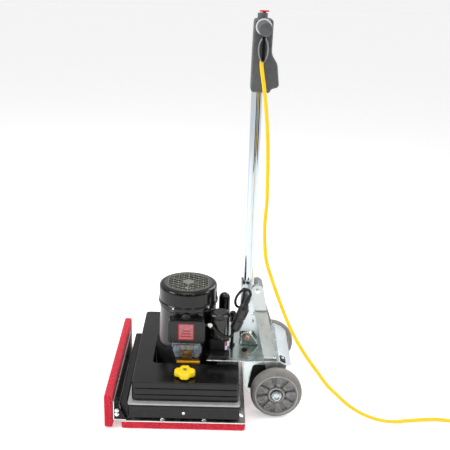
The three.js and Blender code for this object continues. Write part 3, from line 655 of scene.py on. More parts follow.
def strand(rng, place, along, out):
    """A short crooked fibre lying on a surface and lifting off it at its ends."""
    length = rng.uniform(5, 13)
    lift = rng.uniform(0.1, 0.9)
    side = along.cross(out) * rng.uniform(-3.5, 3.5)
    path = [
        place + along * length * (t - 0.5) + side * (t - 0.5) ** 2 * 2
        + out * (lift * (2 * t - 1) ** 2 + 0.15)
        for t in (0, 0.33, 0.66, 1)
    ]
    for point in path:
        point.z = max(point.z, 2 * STRAND_RADIUS)
    return tube(path, STRAND_RADIUS, 3)


def add_pads():
    rng = random.Random(11)
    end_x = 253.2  # just inside the pads' ends
    floor_pad = piece("floor_pad_fibre", "pad_carrier", "red_pad",
                      pad_skin(254, 178, 0.2, 22.0, 3.0), "floor_pad", sharp=80)
    board = pad_skin(254, 51.5, 0, 23, 9.0, corner=4.0)
    stood = [Vector((p.x, -203 - p.z, p.y + 53.5)) for p in board[0]], board[1]
    baseboard = piece("baseboard_pad_fibre", "pad_carrier", "red_pad", stood, "baseboard_pad",
                      sharp=80)
    low, tall = [], []
    for _ in range(FLOOR_PAD_STRANDS):
        z = rng.uniform(1.5, 21)
        if rng.random() < 0.36:
            side = rng.choice((-1, 1))
            out = Vector((side, 0, 0))
            place = Vector((side * end_x, rng.uniform(-172, 172), z))
            along = Vector((0, math.cos(a := rng.gauss(0, 0.5)), math.sin(a)))
        else:
            side = 1 if rng.random() < 0.4 else -1
            out = Vector((0, side, 0))
            place = Vector((rng.uniform(-248, 248), side * 177.2, z))
            along = Vector((math.cos(a := rng.gauss(0, 0.5)), 0, math.sin(a)))
        low.append(strand(rng, place, along, out))
    for _ in range(BASEBOARD_STRANDS):
        a = rng.uniform(0, math.pi)
        pick = rng.random()
        if pick < 0.72:
            place, out = Vector((rng.uniform(-247, 247), -225.2, rng.uniform(7, 101))), Vector((0, -1, 0))
            along = Vector((math.cos(a), 0, math.sin(a)))
        elif pick < 0.88:
            place, out = Vector((rng.uniform(-247, 247), rng.uniform(-223, -206), 104.2)), UP
            along = Vector((math.cos(a), math.sin(a), 0))
        else:
            side = rng.choice((-1, 1))
            place = Vector((side * end_x, rng.uniform(-223, -206), rng.uniform(7, 101)))
            out = Vector((side, 0, 0))
            along = Vector((0, math.cos(a) * 0.5, math.sin(a))).normalized()
        tall.append(strand(rng, place, along, out))
    piece("floor_pad_strands", "pad_carrier", "red_fibre", merged(*low), sharp=80)
    piece("baseboard_pad_strands", "pad_carrier", "red_fibre", merged(*tall), sharp=80)


def add_driver():
    plate = slab(rectangle(-253, 253, -178, 178, 4), 22.3, 26.3, 0.9)
    bolts = [
        shifted(hex_head(10, 4.5, 9), x, y, 26.3) for x in (-238, 238) for y in (-60, 60)
    ]
    piece("driver_plate_sheet", "pad_carrier", "rolled_steel", plate, "driver_plate")
    low, thick = 26.6, 3
    angle = cheek(rounded([
        (-200.7, low, 1.5), (-164, low), (-164, low + thick), (-200.7 + thick, low + thick, 3),
        (-200.7 + thick, 88, 1), (-200.7, 88, 1)]), -178, 252, 0.6)
    gusset = cheek([
        (-198.5, low + 1), (-168, low + 1), (-168, low + 12), (-188.7, 74), (-198.5, 74)], 246, 250, 0.6)
    hinge = merged(
        facing_x(rod(5.5, -12, 8, 1, 24), 238, -191.5, 80),
        cheek(rounded([(-198, 40, 2), (-182, 40, 5), (-182, 66, 5), (-198, 66, 2)]), 250.4, 253.2, 0.5),
    )
    # A black sheet on the holder's inner face: a painted reflection, darkening that face as the reflection of
    # dark parts does.
    painted_reflection_sheet = block(-176, 244, -197.6, -194.6, 30, 85, 1.0)
    piece("holder_painted_reflection_sheet", "pad_carrier", "black_rubber", painted_reflection_sheet)
    ends = [facing_x(hex_head(9, 3.4, 6.5), 253.0, y, z) for y, z in ((-190, 47), (-190, 59))]
    piece("baseboard_holder_angle", "pad_carrier", "rolled_steel", angle, "baseboard_holder")
    piece("baseboard_holder_gusset", "pad_carrier", "foot_paint", merged(gusset, hinge))
    piece("baseboard_holder_bolts", "pad_carrier", "bright_zinc", merged(*ends, *bolts))


# ---------------------------------------------------------------- frame, skirt and weights
def add_frame():
    holes = [circle(0, 0, FRAME_BORE, 48)] + [circle(s * WEIGHT_STUDS, 0, 7, 20) for s in (-1, 1)]
    piece("frame_plate_sheet", "chassis", "grey_paint",
          slab(rectangle(-247, 247, -160, 161, 6), 74, 80, 1.2, holes), "frame_plate")
    outer = [
        (-246.5, 161, 5), (-246.5, -157, 4), (-200, -157, 3), (-200, -182, 5), (236, -182, 5), (236, -157, 3),
        (246.5, -157, 4), (246.5, 161, 5)]
    inner = [
        (-240, 154.5, 2), (240, 154.5, 2), (240, -150.5, 2), (229.5, -150.5, 2), (229.5, -163.5, 2),
        (-193.5, -163.5, 2), (-193.5, -150.5, 2), (-240, -150.5, 2)]
    band = slab(rounded(outer), 32, 73.7, 2.0, [rounded(inner)], steps=2)
    lip_out = [(u + math.copysign(1.4, u), v + math.copysign(1.4, v), r) for u, v, r in outer]
    lip = slab(rounded(lip_out), 64.5, 71.5, 1.6, [rounded(inner)], steps=2)
    piece("skirt_band", "chassis", "black_rubber", merged(band, lip), "skirt")
    heads = []
    for side in (-1, 1):
        heads += [facing_x(screw(5, 3), side * 246.6, 0, 51, side)]
    heads += [facing(screw(5, 3), (x, -182, 51), (0, -1, 0)) for x in (-150, 18, 190)]
    heads += [facing(screw(5, 3), (x, 161, 51), (0, 1, 0)) for x in (-200, -70, 70, 200)]
    tab = cheek(rounded([(158, 44, 1), (172, 38, 3), (172, 46, 3), (158, 56, 1)]), 240.6, 243.4, 0.5)
    piece("skirt_screws", "chassis", "bright_zinc", merged(*heads, tab, mirrored(tab)))
    for number, (x, y) in enumerate([(-200, -115), (-200, 115), (200, -115), (200, 115)], 1):
        low, top = 26.9, 73.7
        mount = turned([
            (0, low), (17, low, 1), (17, low + 5, 1), (13, low + 12, 4), (13, top - 12, 4), (17, top - 5, 1),
            (17, top, 1), (0, top)], 32)
        piece(f"isolator_mount_{number}", "chassis", "black_rubber", shifted(mount, x, y),
              f"isolator_{number}")


def add_weights():
    outline = rounded([
        (-233.4, -150, 14), (233.4, -150, 14), (233.4, 157.5, 14), (119, 157.5, 5), (119, -97, 14),
        (-119, -97, 14), (-119, 157.5, 5), (-233.4, 157.5, 14)], 6)
    holes = [circle(s * WEIGHT_STUDS, 0, 7, 20) for s in (-1, 1)]
    seat, pitch, thick = 80, 20.2, 19.9
    for number in range(1, 4):
        top = seat + number * pitch
        piece(f"weight_plate_casting_{number}", "chassis", "cast_weight",
              slab(outline, top - thick, top, 2.6, holes, steps=2), f"weight_plate_{number}")


def knob_outline():
    """Four broad lobes, each with shallow finger notches."""
    out, count = [], 144
    for k in range(count):
        a = 2 * math.pi * k / count
        lobe = math.tanh(3.2 * (math.cos(4 * a) + 0.52))
        ripple = -0.8 * math.cos(16 * a) if math.cos(4 * a) > -0.2 else 0
        r = 26.8 + 3.2 * lobe + ripple
        out.append((r * math.cos(a), r * math.sin(a)))
    return out


def add_clamps():
    seat = 140.9
    outline = knob_outline()
    for name, x in (("near", WEIGHT_STUDS), ("far", -WEIGHT_STUDS)):
        head = loft(outline, [
            (seat + 3.2, 5), (seat + 3.6, 2.4), (seat + 5.2, 0.8), (seat + 8, 0.1), (seat + 16, 0.1),
            (seat + 19, 1.2), (seat + 20.6, 3.4), (seat + 21.4, 6.5), (seat + 21.6, 11), (seat + 20.8, 13)])
        skirt = rod(15, seat, seat + 5, 1, 40)
        piece(f"clamp_knob_{name}_moulding", f"clamp_{name}", "yellow_plastic",
              shifted(merged(head, skirt), x), f"clamp_knob_{name}")
        stud = turned([
            (0, 60), (5, 60, 1), (6, 61.5), (6, seat + 2), (6, seat + 22.5), (5.2, seat + 24),
            (0, seat + 24)], 24)
        threads = [
            shifted(turned([(5.6, h), (6.05, h + 0.55), (5.6, h + 1.1), (5.6, h)], 20, steps=1)) for h in
            [61.8 + 1.5 * k for k in range(7)]]
        piece(f"clamp_stud_{name}", f"clamp_{name}", "zinc", shifted(merged(stud, *threads), x))


# ---------------------------------------------------------------- motor
def add_motor():
    foot = turned([
        (62, 80.3), (95.5, 80.3, 2), (95.5, 125, 3), (92.4, 164.7, 1.5), (21.3, 164.7), (21.3, 154),
        (62, 151), (62, 80.3)], 96)
    piece("motor_foot_casting", "chassis", "foot_paint", foot, "motor_foot")
    body = turned([
        (20.3, 165), (90.6, 165, 1), (92.4, 167, 1.5), (91.6, 178, 14), (85.5, 235, 22), (85.5, 283, 1),
        (86.6, 284.5, 1), (86.6, 288, 1), (85.5, 289.5, 1), (85.5, 296, 1), (72, 296), (72, 176.7),
        (20.3, 176.7), (20.3, 165)], 96)
    piece("motor_shell", "chassis", "black_paint", body, "motor_body")
    heads = [on_wall(hex_head(8, 4, 6), 87, degrees, 262) for degrees in (150, 210, 330)]
    piece("motor_bolts", "chassis", "zinc", merged(*heads))


def triangles(radius, rings, rib):
    """Corner lists of the triangular openings of a hexagonal grille, leaving its middle solid."""
    pitch = radius / rings
    share = 1 - math.sqrt(3) * rib / pitch
    out = []
    for sector in range(6):
        u, v = (
            Vector((pitch * math.cos(k * math.pi / 3), pitch * math.sin(k * math.pi / 3)))
            for k in (sector, sector + 1))
        for row in range(1, rings):
            for k in range(row + 1):
                groups = [((row - k, k), (row - k + 1, k), (row - k, k + 1))]
                if k < row:
                    groups.append(((row - k, k), (row - k, k + 1), (row - k - 1, k + 1)))
                for group in groups:
                    corners = [u * a + v * b for a, b in group]
                    middle = sum(corners, Vector((0, 0))) / 3
                    eased_corners = [(*(middle + (c - middle) * share), 1.2) for c in corners]
                    out.append(rounded(eased_corners, 2))
    return out


def add_fan_cover():
    top, radius = 354, 88.5
    shell = turned([
        (radius - 2.5, 296.3), (91, 296.3, 0.6), (91, 302.3, 1), (radius + 0.2, 306, 1),
        (radius - 0.4, 345.5, 5), (radius - 3.6, 351, 4), (radius - 12, top - 0.4, 3), (72.4, top),
        (72.4, top - 2.2), (radius - 13, top - 2.6), (radius - 5.5, 347, 4), (radius - 3, 342, 3),
        (radius - 2.5, 296.3)], 96)
    piece("fan_cover_shell", "chassis", "cover_paint", shell, "fan_cover")
    grille = slab(circle(0, 0, 71.2, 6), top - 2.4, top, 0.4, triangles(70, 4, 1.7))
    piece("fan_grille", "chassis", "grille_paint", grille)
    margin = slab(circle(0, 0, 73, 72), top - 2.4, top, 0.1, [opening(circle(0, 0, 71.0, 6))])
    piece("fan_grille_margin", "chassis", "margin_paint", margin)
    spokes = spun(block(16, 70, -1.5, 1.5, top - 1.0, top + 0.5, 0.6), 6)
    hexagon = slab(circle(0, 0, 19, 6), top - 1.0, top + 0.5, 0.5)
    piece("fan_grille_ribs", "chassis", "grille_paint", merged(hexagon, *spokes))
    heads = [on_wall(screw(3.6, 2.4), 90.4, degrees, 299.6) for degrees in (-27, 44, 135, 225)]
    piece("fan_cover_screws", "chassis", "bright_zinc", merged(*heads))


def add_junction_box():
    notch = arc(*RESET, 9.6, -14, -166, 12)
    outline = rounded([(-53, 203, 8), (53, 203, 8), (53, 272, 8), *notch, (-53, 272, 8)])
    body = cheek(outline, 60, 104, 0.8)
    boss = turned([(0, 60), (15, 60), (15, 94, 3), (11.5, 97, 1), (9.2, 97), (9.2, 88.6), (0, 88.6)], 48)
    boss = facing_x(boss, 0, *RESET)
    piece("junction_box_casting", "chassis", "lid_paint", merged(body, boss), "junction_box")
    lid = cheek(rectangle(-55, 55, 202, 272.5, 10), 104.3, 108, 1.6, steps=3)
    piece("junction_lid", "chassis", "lid_paint", lid, "junction_cover")
    corners = [facing_x(screw(3.2, 1.6), 107.8, y, z) for y in (-48, 48) for z in (209, 265.5)]
    piece("junction_screws", "chassis", "screw_black", merged(*corners))
    edge = cheek(rectangle(-24.7, 22, 212, 265, 3), 107.7, 108.5, 0.2,
                 [opening(rectangle(-21.6, 18.9, 215, 262, 1.5))])
    bars = [
        cheek(rectangle(-18 + 3 * k, 15 - 2 * k, 222 + 9 * k, 225.5 + 9 * k), 108.3, 108.7, 0.1)
        for k in range(3)
    ]
    piece("junction_label_frame", "chassis", "label_red", merged(edge, *bars))
    piece("junction_label_panel", "chassis", "label_pink",
          cheek(rectangle(-21.8, 19.1, 214.8, 262.2), 107.6, 108.35, 0.1))
    button = turned([(0, 91.4), (8.5, 91.4, 0.5), (8.5, 98.5, 2.5), (4, 101.2, 3), (0, 101.5)], 36)
    piece("reset_button_dome", "reset_button", "black_plastic", facing_x(button, 0, *RESET),
          "reset_button")


def add_electrics():
    top, deck, front = 204, DECK_Z, 65
    room = 93.8  # from the motor's axis to the foot's hollow
    cut_x = math.sqrt(room ** 2 - front ** 2)
    foot_outline = (
        [(cut_x + 0.4, front), (112, front)] + arc(112, 75, 10, -90, 0, 5) + arc(110, 117, 12, 0, 90, 6)
        + arc(30, 117, 12, 90, 170, 6) + arc(0, 0, room, 76, math.degrees(math.atan2(front, cut_x)), 10)[:-1])
    foot = slab(foot_outline, deck, deck + 9, 2.2, steps=2)
    box_outline = (
        [(67.7, 65.2), (80, 66)] + arc(78, 76, 10, -80, 0, 5) + arc(76, 115, 12, 0, 90, 6)
        + arc(57, 115, 12, 90, 180, 6) + [(45, 82.5)])
    case = slab(box_outline, deck + 8, top, 1.6, steps=2)
    post = turned([
        (0, deck), (9, deck, 1), (9, deck + 4, 1), (4.5, deck + 7), (4.5, 259), (9, 260, 1), (9.4, 268, 2),
        (7, 273, 2), (0, 273)], 32)
    lug = block(22, 44, 118, 143, deck, deck + 6, 1.5, 5)
    piece("control_box_moulding", "chassis", "black_plastic",
          merged(foot, case, shifted(post, 30, 138), lug), "control_box")
    heads = [shifted(screw(3.6, 2.6), x, y, deck + 8.9) for x, y in ((112, 76), (108, 118))]
    heads.append(shifted(hex_head(9, 4, 7), 38, 124, deck + 6))
    piece("control_box_screws", "chassis", "screw_black", merged(*heads))
    can_place = (64, 98)
    can = turned([(0, top + 0.3), (28.5, top + 0.3, 1.5), (28.5, 271, 1), (0, 271)], 64)
    rim = turned([(0, 270), (29.2, 270.5, 0.8), (29.6, 273), (0, 273)], 64)
    piece("capacitor_near_can", "chassis", "black_paint",
          shifted(merged(can, rim), *can_place), "capacitor_near")
    lid = merged(
        lathe([(0, 272), (29.4, 272), (30.5, 274), (30.5, 280.5), (27.5, 285), (22, 288), (0, 288)], 14),
        lathe([(0, 287), (12, 287), (11, 288.6), (0, 288.6)], 14))
    piece("capacitor_near_lid", "chassis", "lid_paint", shifted(lid, *can_place), sharp=20)
    far = turned([(0, deck), (18, deck, 1), (18, 289, 3), (14, 298, 4), (7, 302.5, 2), (0, 303)], 48)
    band = rod(18.5, 228, 240, 0.4, 48)
    piece("capacitor_far_can", "chassis", "black_paint",
          shifted(merged(far, band), -40, 112), "capacitor_far")
    gland = merged(
        facing(turned([(0, 0), (7.4, 0, 1), (7.4, 4, 1.5), (5.4, 6), (4.8, 9, 1.2), (0, 9)], 10),
               (93.5, 67.5, 254.5), (0.05, 1, -0.05)),
        facing(turned([(0, 0), (5.0, 0, 1), (5.0, 5, 1.5), (0, 5)], 20), (93, 62.5, 255.3), (0, 1, 0)))
    piece("motor_lead_gland", "chassis", "white_nylon", gland)
    piece("capacitor_clip_screw", "chassis", "screw_black",
          facing_x(screw(3.4, 2.6), 90.4, 84, 231))
    white = shifted(cheek(rectangle(104, 121, 172, 199, 1), 0, 0.4, 0.08), 88.0)
    red = shifted(cheek(rectangle(104.6, 112.4, 186, 198), 0, 0.4, 0.08), 88.25)
    blue = shifted(cheek(rectangle(113.2, 120.4, 173, 183), 0, 0.4, 0.08), 88.25)
    turn = Matrix.Rotation(math.radians(38), 4, "Z")
    tip = Matrix.Translation((76, 115, 0)) @ turn @ Matrix.Translation((-76, -113, 0))
    for name, shape, finish, slot in (
        ("sticker_base", white, "white_nylon", None), ("sticker_red", red, "label_red", "red_plastic"),
        ("sticker_blue", blue, "label_blue", None)):
        piece(name, "chassis", finish, moved(shape, tip))


def add_clear_cover():
    def outline(inset):
        return rounded([
            (-36 + inset, 146 + inset, 4), (41 - inset, 146 + inset, 4), (50 - inset, 172, 6),
            (48 - inset, 199 - inset, 5), (-42 + inset, 199 - inset, 5), (-45 + inset, 172, 6)])
    rim = cheek(outline(0), 96, 112.6, 0.9, [opening(outline(2.2))])
    face = cheek(outline(0.3), 111.6, 114, 0.9, steps=2)
    piece("clear_cover_shell", "chassis", "clear_plastic", merged(rim, face), "clear_cover")
    # The terminals and their backing are a pale bluish grey: partly real parts, partly painted highlight for
    # the bright bluish glints of the clear cover.
    back = cheek(outline(4), 96.4, 98.4, 0.5)
    sides = merged(
        cheek(rectangle(-33, -20, 153, 191, 3), 98, 107, 1.5),
        cheek(rectangle(24, 38, 153, 191, 3), 98, 107, 1.5),
        cheek(rectangle(-16, 20, 178, 192, 3), 98, 106, 1.5))
    piece("clear_cover_terminals_and_painted_highlight", "chassis", "terminal_grey_and_painted_highlight", merged(back, sides))
    core = merged(
        cheek(rectangle(-12, 17, 151, 175, 3), 98, 107, 1.5),
        facing_x(turned([(0, 0), (8, 0, 1), (8, 3, 1), (4, 3.4), (4, 1), (0, 1)], 32), 106.8, 2.5, 164))
    piece("clear_cover_brass_block", "chassis", "brass", core)
    bar = cheek(rounded([(-28, 139.2, 1), (42, 139.2, 1), (40, 145.6, 2), (-26, 145.6, 2)]), 97, 117, 1.2)
    piece("cover_base_bar", "chassis", "orange_bar", bar, "cover_base")


# ---------------------------------------------------------------- chassis, wheels and handle carrier
def add_chassis():
    room, front = 95, 61
    cut_x = math.sqrt(room ** 2 - front ** 2)
    start = math.degrees(math.atan2(front, -cut_x))
    end = math.degrees(math.atan2(front, cut_x))
    flat = slab([(-130, front)] + arc(0, 0, room, start, end, 28) + [(130, front), (130, 280), (-130, 280)],
                155, 158, 0.7)
    run, fall = 37, 17
    length = math.hypot(run, fall)
    tilt = Matrix.Rotation(-math.atan2(fall, run), 4, "X")
    lip = slab(rounded([(-130, -1), (130, -1), (130, length - 17, 6), (114, length, 6), (-114, length, 6),
                        (-130, length - 17, 6)]), -3, 0, 0.7)
    lip = moved(lip, Matrix.Translation((0, 279, 158)) @ tilt)
    leg = [(172, 156), (173, 66, 3), (190, 46, 6), (270, 52.2), *arc(*AXLE, 24, -90, 12, 10), (299, 146.5),
           (279, 157)]
    inner = opening(rounded([(200, 147, 8), (258, 147, 8), (240, 68, 8), (186, 68, 8)]))
    near = cheek(rounded(leg), 127, 130, 0.7, [inner, opening(circle(*AXLE, 9, 24))])
    piece("chassis_sheet", "chassis", "deck_zinc", merged(flat, near, mirrored(near)), "chassis")
    piece("chassis_rear_lip", "chassis", "cradle_zinc", lip)
    bolt = shifted(hex_head(11, 3.4, 8.5), 60, 176, 158)
    # The deck's rolled near edge is bright zinc, lighter than the deck: a painted highlight, on a rounding
    # that also catches real light.
    roll = tube([Vector((128.9, y, 156.7)) for y in (62, 120, 180, 240, 278)], 1.75, 12)
    piece("deck_edge_and_painted_highlight", "chassis", "bright_zinc", merged(roll, mirrored(roll)))
    slope = moved(hex_head(10, 4.2, 8), Matrix.Translation((104, 288, 153.8)) @ tilt)
    bracket = moved(block(-17, 17, -9, 9, 0, 2.6, 0.7, 4), Matrix.Translation((104, 289, 153.4)) @ tilt)
    # The deck bolts are black as a painted reflection, the dark spot that the shiny deck shows there.
    piece("deck_bolts_and_painted_reflection", "chassis", "foot_paint", merged(bolt, mirrored(bolt)))
    # The black bracket at the rear slope's near end is a small bracket and partly painted shade, darkening
    # that corner by the wheel.
    piece("slope_brackets_and_painted_shade", "chassis", "foot_paint", bracket)
    piece("slope_bolts", "chassis", "bright_zinc", slope)


def add_pivot():
    base = DECK_Z
    outline = rounded([(164, base), *arc(*PIVOT, 17, 180, 45, 12), (218, base + 5, 3), (218, base)])
    lug = cheek(outline, 24, 28, 0.8, [opening(circle(*PIVOT, 6.6, 24))])
    floor = block(-28, 28, 164, 218, base, base + 2.5, 0.6)
    piece("pivot_clevis_sheet", "chassis", "lug_zinc", merged(lug, mirrored(lug), floor),
          "pivot_clevis")
    # A bead of brighter zinc along each lug's edge: a painted highlight, on a rounding that also catches real
    # light.
    rim = [(164.6, base + 3), *arc(*PIVOT, 16.4, 180, 45, 12), (217, base + 5.5)]
    bead = tube(smooth_path([Vector((27.2, y, z)) for y, z in rim], 2.5), 2.3, 10)
    piece("pivot_clevis_edge_and_painted_highlight", "chassis", "bright_zinc", merged(bead, mirrored(bead)))
    shaft = facing_x(rod(6, -34.5, 34.8, 0.6, 28), 0, *PIVOT)
    head = facing_x(hex_head(17, 6.4, 10.4), 28.5, *PIVOT)
    nut = facing_x(hex_head(16, 5.4, 9), -28.4, *PIVOT, -1)
    piece("pivot_bolt_set", "chassis", "bronze_bolt", merged(shaft, head, nut), "pivot_bolt")


def add_cradle():
    side = rounded([(160, 206, 1), (216, 206, 8), (216, 362, 16), (160, 362, 1)], 6)
    holes = [opening(circle(y, z, 5, 20)) for y, z in ((198, 241), (198, 266), ARM_TOP)]
    holes.append(opening(circle(POLE_Y, PIN_Z, 4.6, 20)))
    near = cheek(side, 24.3, 28.3, 0.8, holes)
    web = block(-28.2, 28.2, 160, 164, 206.2, 361.8, 1.4)
    piece("handle_cradle_channel", "chassis", "cradle_zinc", merged(near, mirrored(near), web),
          "handle_cradle")


def arm(route, width, thick):
    """A flat bar bent along a route in X and Z, with round ends and softened bends."""
    line = smooth_bends(route)
    half = thick / 2
    outline = rectangle(-width / 2, width / 2, -half, half, 1.0, 2)
    rings = [[Vector(line[0])]]
    for i, here in enumerate(line):
        before, after = line[max(i - 1, 0)], line[min(i + 1, len(line) - 1)]
        run = Vector((after[0] - before[0], 0, after[2] - before[2])).normalized()
        normal = Vector((run.z, 0, -run.x))
        rings.append([Vector(here) + Vector((0, 1, 0)) * u + normal * w for u, w in outline])
    rings.append([Vector(line[-1])])
    proud = half + 0.15  # the round ends stand a little out of the bar's faces
    ends = [facing_x(rod(width / 2, -proud, proud, 0.8, 48), *end) for end in (route[0], route[-1])]
    return merged(stack(rings), *ends)


def smooth_bends(route):
    """The route with each inner corner replaced by a short curve."""
    radius = 9.0
    out = [Vector(route[0])]
    for before, here, after in zip(route, route[1:], route[2:]):
        here = Vector(here)
        start = here + (Vector(before) - here).normalized() * radius
        end = here + (Vector(after) - here).normalized() * radius
        out += [start.lerp(here, t).lerp(here.lerp(end, t), t) for t in (0, 0.25, 0.5, 0.75, 1)]
    return out + [Vector(route[-1])]


def add_arms():
    route = [(132.4, *AXLE), (132.4, 251, 166), (32.4, 222, 275), (32.4, *ARM_TOP)]
    near = arm(route, 38, 4)
    piece("arm_near_bar", "chassis", "zinc", near, "arm_near")
    piece("arm_far_bar", "chassis", "zinc", mirrored(near), "arm_far")
    bolts = []
    for side in (1, -1):
        bolts.append(facing_x(hex_head(11, 5, 8.4), side * 34.4, *ARM_TOP, side))
        bolts.append(facing_x(rod(6, 20.5, 24.2, 0.5, 24), 0, *ARM_TOP, side))
    piece("arm_bolts", "chassis", "bright_zinc", merged(*bolts))


def hub_spokes():
    """Nine raised wedges round the hub, with rounded pockets between them."""
    outline = rounded([
        (27, -4.8, 3), (31, -6.4, 2), (56.6, -11.6, 3), (58.4, 0, 6), (56.6, 11.6, 3), (31, 6.4, 2),
        (27, 4.8, 3)], 3)
    groove = opening(rounded([(38, -2.4, 1.8), (52, -4.8, 2), (52, 4.8, 2), (38, 2.4, 1.8)], 3))
    wedge = slab(outline, 7, 17.5, 1.4, [groove], steps=2)
    floor = slab(rounded([(37, -3, 1), (53, -5.6, 1), (53, 5.6, 1), (37, 3, 1)], 2), 7, 15.4, 0.5)
    return merged(*spun(merged(wedge, floor), 9, 90))


def add_wheels():
    tyre = turned([
        (63.6, -21), (66.5, -20.6, 1.5), (71.5, -18, 4), (75.0, -12, 6), (76.2, -5, 6), (76.2, 5, 6),
        (75.0, 12, 6), (71.5, 18, 4), (66.5, 20.6, 1.5), (63.6, 21), (63.6, -21)], 96, 5)
    rim = turned([
        (8.6, -21), (12, -21, 0.6), (12, -10), (19.5, -10, 1), (20.5, -19.5, 1.5), (23.5, -19.5, 1.5),
        (25, -10, 2), (57.0, -10, 3), (58.6, -19, 2), (60.4, -20.4, 1.2), (60.4, 20.4, 1.2), (58.6, 19, 2),
        (57.0, 10, 3), (25, 10, 2), (23.5, 19.5, 1.5), (20.5, 19.5, 1.5), (19.5, 10, 1), (12, 10),
        (12, 21, 0.6), (8.6, 21), (8.6, -21)], 96)
    spokes = hub_spokes()
    inward = moved(spokes, Matrix.Rotation(math.pi, 4, "X"))
    for name, x in (("near", 161.5), ("far", -161.5)):
        turn = 1 if x > 0 else -1
        body = f"wheel_{name}"
        piece(f"tyre_{name}_tread", body, "grey_tyre", facing_x(tyre, x, *AXLE, turn),
              f"tyre_{name}")
        piece(f"wheel_hub_{name}_moulding", body, "hub_plastic",
              facing_x(merged(rim, spokes, inward), x, *AXLE, turn), f"wheel_hub_{name}")
        ring = turned([(60.3, -21.6), (63.7, -21.6, 1.2), (63.7, 21.6, 1.2), (60.3, 21.6, 1.2),
                       (60.3, -21.6)], 96)
        nave = turned([(19.6, 10), (23.4, 10), (23.4, 20.6, 1.4), (19.6, 20.6, 1.4), (19.6, 10)], 64)
        piece(f"wheel_rim_{name}", body, "rim_plastic",
              facing_x(merged(ring, nave), x, *AXLE, turn))
    shaft = facing_x(rod(8, -189, 189, 1.4), 0, *AXLE)
    nut = turned([(8.1, 0), (12.6, 0), (12.6, 5.5, 1.8), (10.4, 7.2, 1), (8.1, 7.2), (8.1, 0)], 28)
    fixings = []
    for side in (1, -1):
        fixings.append(facing_x(collar(8.1, 14.5, 0, 2.2, 0.8, 32), side * 183.9, *AXLE, side))
        fixings.append(facing_x(nut, side * 186, *AXLE, side))
    piece("axle_shaft", "chassis", "zinc", shaft, "axle")
    piece("axle_nuts", "chassis", "cradle_zinc", merged(*fixings))


# ---------------------------------------------------------------- handle
def add_handle():
    bore, radius, hole_low, hole_high = 13.9, 15.9, 313.4, 322.6
    lower = turned([(bore, 170), (radius, 170, 0.8), (radius, hole_low), (bore, hole_low), (bore, 170)], 72,
                   3)
    upper = turned([(bore, hole_high), (radius, hole_high), (radius, 995, 0.8), (bore, 995),
                    (bore, hole_high)], 72, 3)
    window = 20
    wall = arc(0, 0, radius, window, 360 - window, 64) + arc(0, 0, bore, 360 - window, window, 64)
    middle = slab(wall, hole_low, hole_high, 0.0)
    piece("handle_tube_pole", "handle", "chrome", shifted(merged(lower, middle, upper), 0, POLE_Y),
          "handle_tube")
    knob = turned([
        (0, 17.2), (3, 17.2, 0.6), (4, 18.9), (4, 35), (6.2, 35, 0.4), (6.2, 36.2), (8.4, 36.6, 0.5),
        (9, 38, 0.8), (9, 43.6, 0.8), (7.6, 45, 0.8), (0, 45)], 36)
    ridges = spun(block(8.6, 9.5, -0.5, 0.5, 37.6, 43.4, 0.25), 18)
    piece("lock_plunger_knob", "lock_plunger", "steel",
          facing_x(merged(knob, *ridges), 0, POLE_Y, PIN_Z), "lock_plunger")


def add_head():
    outline = rounded([
        (167, 1134, 10), (165, 1038, 20), (164, 938, 9), (216, 936, 5), (221, 947, 6), (242.4, 953, 9),
        (234.7, 1017, 9), (217.8, 1042, 12), (219.2, 1134, 10)], 6)
    near = cheek(outline, 0.35, 29, 4.5, steps=4)
    near = [Vector((max(p.x, 0.35), p.y, p.z)) for p in near[0]], near[1]
    boss = shifted(turned([(0, 1129), (14, 1129), (14, 1148, 1.5), (11, 1149, 1), (0, 1149)], 48), 0, 190)
    core = cheek(rounded([(170, 1130, 8), (168, 945, 6), (214, 942, 5), (238, 957, 8), (231, 1016, 8),
                          (214, 1042, 8), (215, 1130, 8)]), -0.6, 0.6, 0.2)
    piece("head_housing_shell", "handle", "head_plastic",
          merged(near, mirrored(near), core, boss), "head_housing")
    places = ((178, 952), (226, 962), (222, 1008), (176, 1052), (206, 1064))
    heads = [facing_x(screw(2.6, 1.2), -28.6, y, z, -1) for y, z in places]
    piece("head_screws", "handle", "foot_paint", merged(*heads))
    cap = slab(rectangle(-11, 11, 181, 207, 6), 1151.6, 1155.4, 1.7, steps=3)
    stem = shifted(turned([(0, 1122), (4.8, 1122, 0.6), (4.8, 1153), (0, 1153)], 28), 0, 194)
    piece("lockout_button_cap", "lockout_button", "red_plastic", merged(cap, stem),
          "lockout_button")
    grip = [(0, 31), (18.4, 31, 1), (18.4, 35.4, 1)]
    for k in range(13):
        x = 40 + 5.4 * k
        grip += [(18.0, x, 0.5), (17.3, x + 0.9, 0.4), (17.3, x + 1.8, 0.4), (18.0, x + 2.7, 0.5)]
    grip += [(18.4, 112, 1), (18.4, 117, 2.2), (15, 120, 2), (0, 120)]
    handle = facing_x(turned(grip, 64, 3), 0, *GRIPS)
    piece("grip_near_sleeve", "handle", "grip_rubber", handle, "grip_near")
    piece("grip_far_sleeve", "handle", "grip_rubber", mirrored(handle), "grip_far")
    # The collars are light grey: partly their own colour, partly a painted highlight, the bright crescent
    # round each grip's root.
    flange = facing_x(turned([(0, 29.3), (22, 29.3, 1.5), (22, 36, 2), (18.6, 38.5, 1.5), (0, 38.5)], 64), 0,
                      *GRIPS)
    piece("grip_collars_and_painted_highlight", "handle", "collar_plastic_and_painted_highlight", merged(flange, mirrored(flange)))


def lens(half_width, half_height):
    """An upright oval with narrowed ends, round the middle of a trigger loop."""
    count, narrowing = 48, 0.25
    angles = [2 * math.pi * k / count for k in range(count)]
    return [
        (TRIGGER_HINGE[0] + half_width * math.cos(a) * (1 - narrowing * math.sin(a) ** 2),
         TRIGGER_LOOP_Z + half_height * math.sin(a))
        for a in angles]


